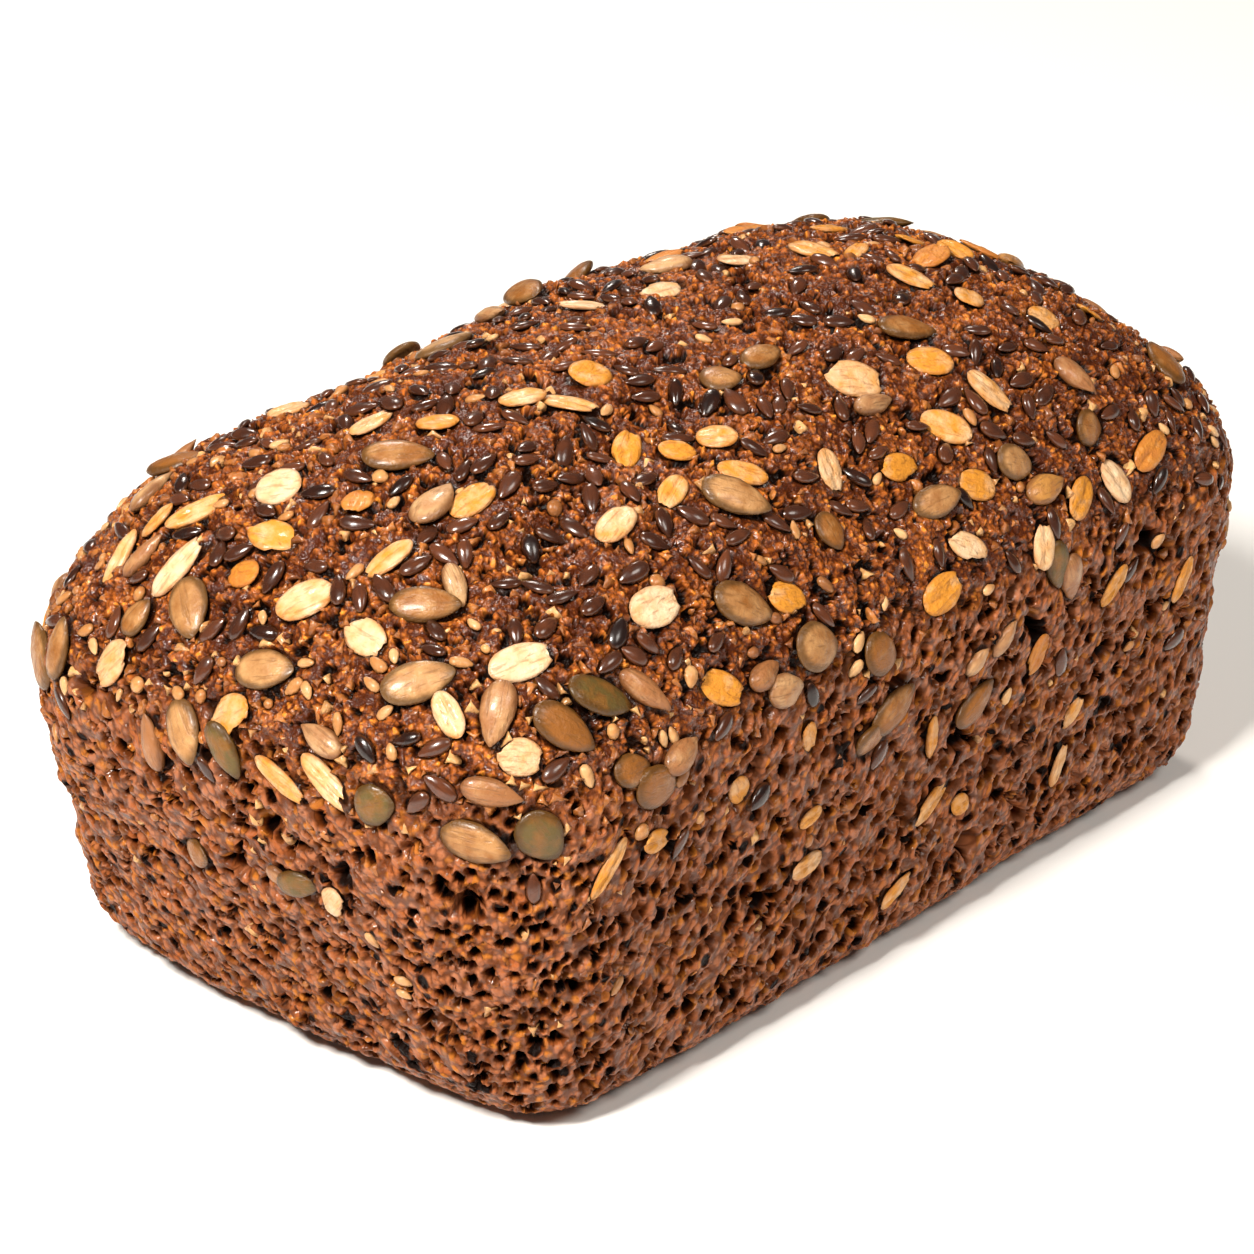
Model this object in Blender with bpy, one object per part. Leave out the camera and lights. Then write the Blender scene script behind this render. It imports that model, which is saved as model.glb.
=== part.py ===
"""Seeded rye bread baked in a small tin: one solid loaf.

The loaf has a flat base with a rounded foot, walls that lean out as the tin's do, rounded
corners that open towards the top, full shoulders and a long domed crown. Its skin is uneven,
as dough is. Units are metres, +Z is up, X runs along the loaf, and the origin is the bottom
centre of the loaf's box.
"""

import math

import bmesh
import bpy
from mathutils import Vector, noise

# ---- driving dimensions -------------------------------------------------------------------

SHOULDER_LENGTH = 0.1895    # end to end at the corners, where the walls meet the crown
SHOULDER_WIDTH = 0.1084     # side to side at the same height
WALL_HEIGHT = 0.0522        # base to shoulder line
CROWN_RISE = 0.0398         # shoulder line to the top of the crown

END_INSET = 0.0136          # how far each end's base stands in from its shoulder
SIDE_INSET = 0.0042         # the same for the long sides
SHOULDER_EASE = 0.0120      # height over which a wall turns upright below its shoulder
END_BULGE = 0.0030          # how far each end swells out in plan, between its corners
SIDE_BULGE = 0.0010         # the same for the long sides
FOOT_RADIUS = 0.0077        # rounding between base and walls
BASE_CORNER = 0.0110        # corner radius in plan at the base
SHOULDER_CORNER = 0.0255    # corner radius in plan at the shoulder
CREST_CORNER = 1.20         # corner radius at the crest, as a share of the shoulder's

CROWN_SQUARENESS = 2.16     # above 2, the crown's sides stay wider as they rise
CROWN_FULLNESS = 1.61       # under 2, the crown rises more slowly from its shoulder
CREST_LENGTH = 0.39         # length of the crest line, as a share of the shoulder length
CREST_SHIFT = Vector((-0.0006, 0.0011))    # the crest lies a little off the middle
END_LEAN = -0.0080          # the +X end stands lower by this share of its height
SIDE_LEAN = -0.0057         # the +Y side stands lower by this share of its height

# Slow unevenness of the skin: (wavelength, height), each a layer of smooth noise.
SKIN_WAVES = ((0.055, 0.0009), (0.024, 0.0006))
SKIN_SEED = Vector((3.7, 11.2, 5.4))

# Swells and dips of the crown: (x, y, reach, height), in plan.
CROWN_SWELLS = (
    (-0.062, 0.042, 0.010, 0.0008),
    (-0.034, 0.031, 0.015, -0.0017),
    (0.005, 0.030, 0.013, 0.0013),
    (0.043, 0.031, 0.015, -0.0010),
    (0.064, 0.010, 0.010, 0.0007),
    (0.088, -0.024, 0.008, -0.0014),
    (0.088, -0.042, 0.008, 0.0014),
    (-0.058, -0.030, 0.007, -0.0016),
    (0.000, -0.042, 0.012, -0.0008),
)

# ---- how finely the shape is divided --------------------------------------------------------

QUARTER_POINTS = 32         # points on each quarter of a ring
FOOT_RINGS = 5              # up the rounded foot
WALL_RINGS = 9              # up the wall
CROWN_RINGS = 20            # from shoulder to crest
CREST_ANGLE = math.radians(87)    # where the last ring of the crown stands

CRUST_COLOUR = (0.205, 0.080, 0.030, 1.0)
CRUST_ROUGHNESS = 0.75


def clear_scene():
    """Remove the objects that a new file starts with."""
    for leftover in list(bpy.data.objects):
        bpy.data.objects.remove(leftover, do_unlink=True)


def smooth_step(low, high, value):
    """Return 0 below low, 1 above high, and an even ease between them."""
    share = min(max((value - low) / (high - low), 0.0), 1.0)
    return share * share * (3.0 - 2.0 * share)


def quarter_point(share, half_length, half_width, corner):
    """Return a point of the ring's first quarter, at a share of the way from +X to +Y."""
    straight_x = half_length - corner
    straight_y = half_width - corner
    arc = corner * math.pi / 2
    way = share * (straight_x + arc + straight_y)
    if way < straight_y:
        return Vector((half_length, way))
    if way < straight_y + arc:
        angle = (way - straight_y) / corner
        return Vector((straight_x + corner * math.cos(angle),
                       straight_y + corner * math.sin(angle)))
    return Vector((straight_x + straight_y + arc - way, half_width))


def rounded_rectangle(half_length, half_width, corner, bulge_share=1.0):
    """Return the plan of one ring, anticlockwise from +X, with its ends and sides swollen."""
    corner = min(corner, half_length, half_width)
    outline = []
    for index in range(4 * QUARTER_POINTS):
        quarter, step = divmod(index, QUARTER_POINTS)
        share = step / QUARTER_POINTS
        if quarter % 2:
            share = 1.0 - share
        point = quarter_point(share, half_length, half_width, corner)
        if quarter in (1, 2):
            point.x = -point.x
        if quarter in (2, 3):
            point.y = -point.y
        along = point.x / half_length
        across = point.y / half_width
        point.x += bulge_share * END_BULGE * along ** 3 * (1.0 - across ** 2)
        point.y += bulge_share * SIDE_BULGE * across ** 3 * (1.0 - along ** 2)
        outline.append(point)
    return outline


def draft_share(height):
    """Return how far a wall stands in at a height, from 1 at the base to 0 at the shoulder."""
    def eased(drop):
        return math.hypot(drop, SHOULDER_EASE) - SHOULDER_EASE
    return eased(WALL_HEIGHT - height) / eased(WALL_HEIGHT)


def wall_ring(height):
    """Return the plan of the wall at a height between base and shoulder."""
    below = max(FOOT_RADIUS - height, 0.0)
    foot_inset = FOOT_RADIUS - math.sqrt(FOOT_RADIUS ** 2 - below ** 2)
    draft = draft_share(height)
    return rounded_rectangle(
        SHOULDER_LENGTH / 2 - END_INSET * draft - foot_inset,
        SHOULDER_WIDTH / 2 - SIDE_INSET * draft - foot_inset,
        BASE_CORNER + (SHOULDER_CORNER - BASE_CORNER) * height / WALL_HEIGHT,
    )


def crown_ring(angle):
    """Return the plan and height of the crown's ring, from 0 at the shoulder to 90 degrees."""
    spread = math.cos(angle) ** (2.0 / CROWN_SQUARENESS)
    height = WALL_HEIGHT + CROWN_RISE * math.sin(angle) ** (2.0 / CROWN_FULLNESS)
    length_share = CREST_LENGTH + (1.0 - CREST_LENGTH) * spread
    corner_share = CREST_CORNER + (1.0 - CREST_CORNER) * spread
    plan = rounded_rectangle(
        SHOULDER_LENGTH / 2 * length_share,
        SHOULDER_WIDTH / 2 * spread,
        SHOULDER_CORNER * corner_share,
        bulge_share=spread,
    )
    return [point + CREST_SHIFT * (1.0 - spread) for point in plan], height


def leaned(point, height):
    """Return a ring point in space, with the loaf's small lean to one end and one side."""
    along = point.x / (SHOULDER_LENGTH / 2)
    across = point.y / (SHOULDER_WIDTH / 2)
    return Vector((point.x, point.y, height * (1.0 + END_LEAN * along + SIDE_LEAN * across)))


def loaf_rings():
    """Return every ring of the loaf from the base to the crest."""
    heights = [FOOT_RADIUS * (1.0 - math.cos(math.radians(90.0 * step / FOOT_RINGS)))
               for step in range(FOOT_RINGS)]
    heights += [FOOT_RADIUS + (WALL_HEIGHT - FOOT_RADIUS) * step / (WALL_RINGS - 1)
                for step in range(WALL_RINGS)]
    rings = [[leaned(point, height) for point in wall_ring(height)] for height in heights]
    for step in range(1, CROWN_RINGS + 1):
        plan, height = crown_ring(CREST_ANGLE * step / CROWN_RINGS)
        rings.append([leaned(point, height) for point in plan])
    return rings


def close_crest(mesh_edit, ring):
    """Close the last ring with strips that run from one side of the crest to the other."""
    count = len(ring)
    for near in range(count // 2):
        strip = [ring[near], ring[near + 1], ring[count - near - 1], ring[-near]]
        mesh_edit.faces.new(list(dict.fromkeys(strip)))


def build_skin(mesh_edit):
    """Make the closed skin from the rings, with a flat base and a closed crest."""
    rings = [[mesh_edit.verts.new(point) for point in ring] for ring in loaf_rings()]
    count = len(rings[0])
    for lower, upper in zip(rings, rings[1:]):
        for index in range(count):
            following = (index + 1) % count
            mesh_edit.faces.new((lower[index], lower[following],
                                 upper[following], upper[index]))
    mesh_edit.faces.new(list(reversed(rings[0])))
    close_crest(mesh_edit, rings[-1])
    bmesh.ops.recalc_face_normals(mesh_edit, faces=mesh_edit.faces[:])


def skin_offset(place):
    """Return how far the skin stands out at a place, from the waves and the swells."""
    offset = 0.0
    for wavelength, height in SKIN_WAVES:
        offset += height * noise.noise(place / wavelength + SKIN_SEED)
    crown_share = smooth_step(WALL_HEIGHT * 0.7, WALL_HEIGHT * 1.2, place.z)
    for x, y, reach, height in CROWN_SWELLS:
        distance = math.hypot(place.x - x, place.y - y) / reach
        offset += height * crown_share * math.exp(-distance ** 2)
    return offset


def roughen_skin(mesh_edit):
    """Push the skin in and out along its normals, leaving the base flat."""
    mesh_edit.normal_update()
    moves = []
    for vertex in mesh_edit.verts:
        move = vertex.normal * skin_offset(vertex.co)
        move.z *= smooth_step(0.0, FOOT_RADIUS * 2, vertex.co.z)
        moves.append(move)
    for vertex, move in zip(mesh_edit.verts, moves):
        vertex.co += move


def centre_on_origin(mesh_edit):
    """Move the loaf so that the bottom centre of its box is the origin."""
    low = [min(vertex.co[axis] for vertex in mesh_edit.verts) for axis in range(3)]
    high = [max(vertex.co[axis] for vertex in mesh_edit.verts) for axis in range(3)]
    shift = Vector((-(low[0] + high[0]) / 2, -(low[1] + high[1]) / 2, -low[2]))
    for vertex in mesh_edit.verts:
        vertex.co += shift


def crust_material():
    """Return the plain brown finish of the solid."""
    material = bpy.data.materials.new("rye_crust")
    material.use_nodes = True
    shader = material.node_tree.nodes["Principled BSDF"]
    shader.inputs["Base Color"].default_value = CRUST_COLOUR
    shader.inputs["Roughness"].default_value = CRUST_ROUGHNESS
    shader.inputs["Metallic"].default_value = 0.0
    return material


def build_loaf():
    """Build the loaf, the one solid of the part."""
    mesh_edit = bmesh.new()
    build_skin(mesh_edit)
    roughen_skin(mesh_edit)
    centre_on_origin(mesh_edit)
    mesh = bpy.data.meshes.new("loaf")
    mesh_edit.to_mesh(mesh)
    mesh_edit.free()
    mesh.shade_smooth()
    mesh.materials.append(crust_material())
    loaf = bpy.data.objects.new("loaf", mesh)
    bpy.context.collection.objects.link(loaf)
    return loaf


clear_scene()
build_loaf()
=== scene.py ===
"""Looks of a seeded rye loaf: its pitted crust, its seeds, kernels and flakes, light and camera.

The crust is one skin grown from the loaf's solid, raised into dough relief and cut into nine
pieces. The seeds find their places before the relief is raised, so that the dough closes round
them, and each kind of seed is one joined mesh.
"""

import logging
import math
from collections.abc import Callable
from dataclasses import dataclass
from enum import Enum
from itertools import product

import bmesh
import bpy
import numpy as np
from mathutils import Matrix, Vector
from mathutils.kdtree import KDTree


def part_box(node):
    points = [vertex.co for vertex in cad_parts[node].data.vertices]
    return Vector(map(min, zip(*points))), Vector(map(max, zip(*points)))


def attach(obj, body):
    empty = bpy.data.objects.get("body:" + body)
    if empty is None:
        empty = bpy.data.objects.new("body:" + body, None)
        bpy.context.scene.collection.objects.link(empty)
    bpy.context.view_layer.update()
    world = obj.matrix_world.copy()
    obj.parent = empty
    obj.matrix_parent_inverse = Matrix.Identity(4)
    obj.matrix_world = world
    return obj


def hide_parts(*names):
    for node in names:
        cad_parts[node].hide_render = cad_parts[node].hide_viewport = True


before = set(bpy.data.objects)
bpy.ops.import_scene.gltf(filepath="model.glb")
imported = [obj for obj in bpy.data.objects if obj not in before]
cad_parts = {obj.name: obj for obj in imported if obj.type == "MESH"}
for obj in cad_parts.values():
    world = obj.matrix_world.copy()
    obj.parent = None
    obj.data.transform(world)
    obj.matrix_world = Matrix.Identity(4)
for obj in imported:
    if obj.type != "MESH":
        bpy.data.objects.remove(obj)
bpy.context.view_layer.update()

LOG = logging.getLogger("rye_loaf")
MM = 0.001
LOAF = "loaf"
BODY = "root"
VIEW_AZIMUTH = -48.0            # degrees: where the near corner is looked at from
VIEW_ELEVATION = 26.0

Socket = bpy.types.NodeSocket


# ---- small tools ----------------------------------------------------------------------------


def linear(colour: str) -> tuple[float, float, float, float]:
    """Turn an sRGB hex colour into the linear values that shaders take.

    Args:
        colour: Six hex digits, such as "8A5A3B".

    Returns:
        Linear red, green and blue, and an alpha of 1.
    """
    channels = [int(colour[place:place + 2], 16) / 255 for place in (0, 2, 4)]
    values = [c / 12.92 if c <= 0.04045 else ((c + 0.055) / 1.055) ** 2.4 for c in channels]
    return (values[0], values[1], values[2], 1.0)


def smooth_step(low: float, high: float, value: np.ndarray) -> np.ndarray:
    """Ease from 0 at low to 1 at high.

    Args:
        low: Value at which the ease starts.
        high: Value at which it ends. It may be below low, for a falling ease.
        value: Values to ease.

    Returns:
        The eased values, from 0 to 1.
    """
    share = np.clip((value - low) / (high - low), 0.0, 1.0)
    return share * share * (3.0 - 2.0 * share)


def bearing(azimuth: float, elevation: float) -> tuple[float, float, float]:
    """Return the unit vector from the loaf towards a direction given in degrees."""
    turn, lift = math.radians(azimuth), math.radians(elevation)
    return (math.sin(turn) * math.cos(lift), -math.cos(turn) * math.cos(lift), math.sin(lift))


class Nodes:
    """Adds nodes to one node tree, whether it is a material's or a modifier's."""

    def __init__(self, tree: bpy.types.NodeTree) -> None:
        """Take the tree that the nodes go into, and empty it."""
        tree.nodes.clear()
        self.tree = tree

    def add(self, kind: str, inputs: dict | None = None, output: int | str = 0,
            **settings: object) -> Socket:
        """Add a node with its settings and links.

        Args:
            kind: Class name of the node.
            inputs: A value, or a socket to link from, for each input by index or name.
            output: Index or name of the output to return.
            **settings: Properties of the node.

        Returns:
            The chosen output socket.
        """
        node = self.tree.nodes.new(kind)
        for name, value in settings.items():
            setattr(node, name, value)
        for key, value in (inputs or {}).items():
            if isinstance(value, Socket):
                self.tree.links.new(value, node.inputs[key])
            else:
                node.inputs[key].default_value = value
        return node.outputs[output] if len(node.outputs) else None


def new_material(name: str) -> tuple[bpy.types.Material, Nodes]:
    """Add a material and return it with its empty node tree."""
    material = bpy.data.materials.new(name)
    material.use_nodes = True
    return material, Nodes(material.node_tree)


def activate(piece: bpy.types.Object) -> None:
    """Select one object alone and make it active."""
    if bpy.context.object and bpy.context.object.mode != "OBJECT":
        bpy.ops.object.mode_set(mode="OBJECT")
    bpy.ops.object.select_all(action="DESELECT")
    piece.select_set(True)
    bpy.context.view_layer.objects.active = piece


def apply_modifier(piece: bpy.types.Object, kind: str, **settings: object) -> None:
    """Add a modifier to a piece and apply it.

    Args:
        piece: The object that takes the modifier.
        kind: Type of the modifier.
        **settings: Its properties.
    """
    activate(piece)
    modifier = piece.modifiers.new(kind.lower(), kind)
    for name, value in settings.items():
        setattr(modifier, name, value)
    bpy.ops.object.modifier_apply(modifier=modifier.name)


def read(items: bpy.types.bpy_prop_collection, key: str, width: int = 1,
         kind: type = np.float32) -> np.ndarray:
    """Read one property of every item of a collection.

    Args:
        items: The collection, such as a mesh's vertices.
        key: Name of the property.
        width: How many numbers each item has.
        kind: Their type.

    Returns:
        One number for each item, or one row of them where the width is above 1.
    """
    flat = np.empty(len(items) * width, kind)
    items.foreach_get(key, flat)
    return flat.reshape(-1, width) if width > 1 else flat


def read_points(mesh: bpy.types.Mesh) -> np.ndarray:
    """Return a mesh's points as rows of x, y and z."""
    return read(mesh.vertices, "co", 3).astype(np.float64)


def read_normals(mesh: bpy.types.Mesh) -> np.ndarray:
    """Return a mesh's point normals as rows."""
    return read(mesh.vertex_normals, "vector", 3).astype(np.float64)


def write_attribute(mesh: bpy.types.Mesh, name: str, values: np.ndarray) -> None:
    """Store one number or one vector for each point of a mesh.

    Args:
        mesh: The mesh.
        name: Name of the attribute.
        values: One row for each point, of one or three numbers.
    """
    is_vector = values.ndim == 2
    attribute = mesh.attributes.new(name, "FLOAT_VECTOR" if is_vector else "FLOAT", "POINT")
    attribute.data.foreach_set("vector" if is_vector else "value",
                               values.astype(np.float32).ravel())


# ---- dough pattern --------------------------------------------------------------------------


@dataclass(frozen=True)
class Hollow:
    """Hollows of one kind in the dough. Lengths are in millimetres."""

    spacing: float
    reach: float        # largest radius, in spacings
    soft: float         # the floor's radius against the brim's: low for a bowl
    share: float        # share of the cells that have a hollow
    depth: float


@dataclass(frozen=True)
class Mound:
    """Mounds of one kind in the dough. Lengths are in millimetres."""

    spacing: float
    height: float
    brim: float         # distance from the middle at which a mound ends, in spacings
    crest: float        # distance at which it has its full height


@dataclass
class Dough:
    """The pattern of the baked dough, which both the relief and the colour follow.

    Lengths are in millimetres. The same nodes are laid in the relief's tree and in the
    material's, so that the shade painted into the pits lies exactly where the skin is pitted.
    The shaken places that they read are worked out once, in the relief's tree, and kept on
    the skin.
    """

    nodes: Nodes
    slant: tuple[float, float] = (45.0, -35.0)      # degrees that the pattern is turned by
    lean_stretch: float = 0.46                      # ...before it is drawn out by one over this
    wall_shakes: tuple = ((0.45, 1.6), (1.3, 0.7))  # waves for each millimetre, and reach
    hole_shakes: tuple = ((0.4, 3.0),)
    crown_shakes: tuple = ((0.6, 1.4), (1.5, 0.8))
    pits: Hollow = Hollow(spacing=1.85, reach=0.74, soft=0.10, share=0.92, depth=2.9)
    pores: Hollow = Hollow(spacing=0.95, reach=0.55, soft=0.10, share=0.50, depth=0.35)
    holes: Hollow = Hollow(spacing=11.0, reach=0.34, soft=0.40, share=0.50, depth=3.4)
    web: Mound = Mound(spacing=1.15, height=0.30, brim=0.75, crest=0.0)
    lumps: Mound = Mound(spacing=1.35, height=0.70, brim=0.72, crest=0.05)
    beads: Mound = Mound(spacing=0.70, height=0.18, brim=0.70, crest=0.10)
    least_lump: float = 0.3                         # the lowest lump's share of the height
    crag_spacing: float = 3.0
    crag_depth: float = 1.4
    crag_edge: tuple[float, float] = (0.46, 0.38)   # noise at a cavity's brim and at its floor

    def shaken(self, place: Socket, shakes: tuple) -> Socket:
        """Shake a place by soft noise, so that cells lose their straight edges.

        Args:
            place: Place in millimetres.
            shakes: For each shake, its waves for each millimetre and how far a place moves.

        Returns:
            The shaken place.
        """
        for scale, reach in shakes:
            noise = self.nodes.add("ShaderNodeTexNoise",
                                   {"Vector": place, "Scale": scale, "Detail": 1.0}, output=1)
            centred = self.nodes.add("ShaderNodeVectorMath", {0: noise, 1: (0.5, 0.5, 0.5)},
                                     operation="SUBTRACT")
            place = self.nodes.add("ShaderNodeVectorMath",
                                   {0: centred, 1: (reach, reach, reach), 2: place},
                                   operation="MULTIPLY_ADD")
        return place

    def leaned(self, place: Socket) -> Socket:
        """Draw the pattern out along the slant in which the dough rose."""
        angles = (math.radians(self.slant[0]), math.radians(self.slant[1]), 0.0)
        turned = self.nodes.add("ShaderNodeVectorRotate", {"Vector": place, "Rotation": angles},
                                rotation_type="EULER_XYZ")
        return self.nodes.add("ShaderNodeVectorMath",
                              {0: turned, 1: (1.0, 1.0, self.lean_stretch)},
                              operation="MULTIPLY")

    def places(self, place: Socket) -> dict[str, Socket]:
        """Shake and slant a place for each of the patterns.

        Args:
            place: Place in millimetres.

        Returns:
            The place for the walls' web and pits, for their holes and for the crown.
        """
        wall = self.shaken(place, self.wall_shakes)
        return {"web_place": self.leaned(wall), "hole_place": self.shaken(wall, self.hole_shakes),
                "crown_place": self.shaken(place, self.crown_shakes)}

    def cells(self, place: Socket, spacing: float) -> tuple[Socket, Socket]:
        """Lay out cells of one spacing.

        Args:
            place: Place in millimetres.
            spacing: Distance between cell centres.

        Returns:
            Distance to the nearest centre in cells, and a random number for each cell.
        """
        distance = self.nodes.add("ShaderNodeTexVoronoi",
                                  {"Vector": place, "Scale": 1.0 / spacing}, output="Distance")
        centre = distance.node.outputs["Position"]
        chance = self.nodes.add("ShaderNodeTexWhiteNoise", {"Vector": centre},
                                output="Value", noise_dimensions="3D")
        return distance, chance

    def rounded(self, distance: Socket, brim: Socket | float, middle: Socket | float) -> Socket:
        """Return 0 at a cell's brim and outside it, rising softly to 1 at its middle."""
        return self.nodes.add("ShaderNodeMapRange",
                              {"Value": distance, "From Min": brim, "From Max": middle},
                              interpolation_type="SMOOTHSTEP")

    def mounds(self, place: Socket, mound: Mound) -> tuple[Socket, Socket]:
        """Lay mounds at the middles of cells.

        Args:
            place: Place in millimetres.
            mound: Their sizes.

        Returns:
            0 between mounds, rising to 1 on their crests, and a random number for each.
        """
        distance, chance = self.cells(place, mound.spacing)
        return self.rounded(distance, mound.brim, mound.crest), chance

    def hollows(self, place: Socket, hollow: Hollow) -> Socket:
        """Lay hollows of chance sizes at the middles of cells.

        Args:
            place: Place in millimetres.
            hollow: Their sizes.

        Returns:
            0 at a hollow's brim and outside it, rising to 1 at its middle.
        """
        distance, chance = self.cells(place, hollow.spacing)
        radius = self.nodes.add("ShaderNodeMapRange", {
            "Value": chance, "From Min": 1.0 - hollow.share, "From Max": 1.0,
            "To Min": hollow.reach * 0.5, "To Max": hollow.reach})
        some = self.nodes.add("ShaderNodeMath", {0: chance, 1: 1.0 - hollow.share},
                              operation="GREATER_THAN")
        floor = self.nodes.add("ShaderNodeMath", {0: radius, 1: hollow.soft},
                               operation="MULTIPLY")
        bowl = self.rounded(distance, radius, floor)
        return self.nodes.add("ShaderNodeMath", {0: bowl, 1: some}, operation="MULTIPLY")

    def stacked(self, layers: tuple) -> Socket:
        """Add layers of relief up.

        Args:
            layers: Pairs of a layer and its height in millimetres, below 0 for a hollow.

        Returns:
            The relief's height in millimetres.
        """
        height = 0.0
        for layer, rise in layers:
            height = self.nodes.add("ShaderNodeMath", {0: layer, 1: rise, 2: height},
                                    operation="MULTIPLY_ADD")
        return height

    def wall(self, slanted: Socket, torn: Socket) -> dict[str, Socket]:
        """Lay the pattern of the walls: a smooth web of dough round pits and holes.

        The finish paints the pits, holes and pores dark, as painted shade.

        Args:
            slanted: Place for the web and its pits.
            torn: Place for the holes.

        Returns:
            Sockets for the pits, the pores, the web's lumps, each lump's chance, the height,
            and the part of the height that the finish repeats as fine relief.
        """
        pits, pores = self.hollows(slanted, self.pits), self.hollows(slanted, self.pores)
        holes = self.hollows(torn, self.holes)
        web, chance = self.mounds(slanted, self.web)
        height = self.stacked(((web, self.web.height), (pores, -self.pores.depth),
                               (pits, -self.pits.depth), (holes, -self.holes.depth)))
        fine = self.stacked(((web, self.web.height), (pits, -self.pits.depth)))
        dark = self.nodes.add("ShaderNodeMath", {0: pits, 1: holes}, operation="MAXIMUM")
        return {"pits": dark, "pores": pores, "lumps": web, "chance": chance,
                "height": height, "fine": fine}

    def crown(self, kneaded: Socket) -> dict[str, Socket]:
        """Lay the pattern of the crown: craggy wet dough in lumps, with cavities.

        The finish paints the cavities near-black, as painted shade.

        Args:
            kneaded: Place for the crown's pattern.

        Returns:
            Sockets for the cavities, the beads, the lumps as grown, each bead's chance, the
            height, and the part of the height that the finish repeats as fine relief.
        """
        lumps, chance = self.mounds(kneaded, self.lumps)
        beads, other = self.mounds(kneaded, self.beads)
        grown = self.nodes.add("ShaderNodeMath", {
            0: chance, 1: 1.0 - self.least_lump, 2: self.least_lump}, operation="MULTIPLY_ADD")
        grown = self.nodes.add("ShaderNodeMath", {0: lumps, 1: grown}, operation="MULTIPLY")
        crag = self.nodes.add("ShaderNodeTexNoise", {
            "Vector": kneaded, "Scale": 1.0 / self.crag_spacing, "Detail": 2.0,
            "Roughness": 0.6})
        cavity = self.rounded(crag, *self.crag_edge)
        height = self.stacked(((grown, self.lumps.height), (beads, self.beads.height),
                               (cavity, -self.crag_depth)))
        fine = self.stacked(((grown, self.lumps.height),))
        return {"cavity": cavity, "beads": beads, "grown": grown, "chance": other,
                "height": height, "fine": fine}


# ---- crust ----------------------------------------------------------------------------------


class CrustZone(Enum):
    """The three looks of the crust."""

    WALL = "wall"
    SHOULDER = "shoulder"
    CROWN = "crown"


class CrustPart(Enum):
    """The pieces that the crust is cut into."""

    BASE = "crust_base"
    CROWN_LEFT = "crust_crown_left"
    CROWN_MIDDLE = "crust_crown_middle"
    CROWN_RIGHT = "crust_crown_right"
    FRONT = "crust_front"
    BACK = "crust_back"
    LEFT_END = "crust_left_end"
    RIGHT_END = "crust_right_end"
    SHOULDER = "crust_shoulder"

    @property
    def zone(self) -> CrustZone:
        """The zone of the crust that the piece lies in."""
        if self is CrustPart.SHOULDER:
            return CrustZone.SHOULDER
        return CrustZone.CROWN if self.value.startswith("crust_crown") else CrustZone.WALL


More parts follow.
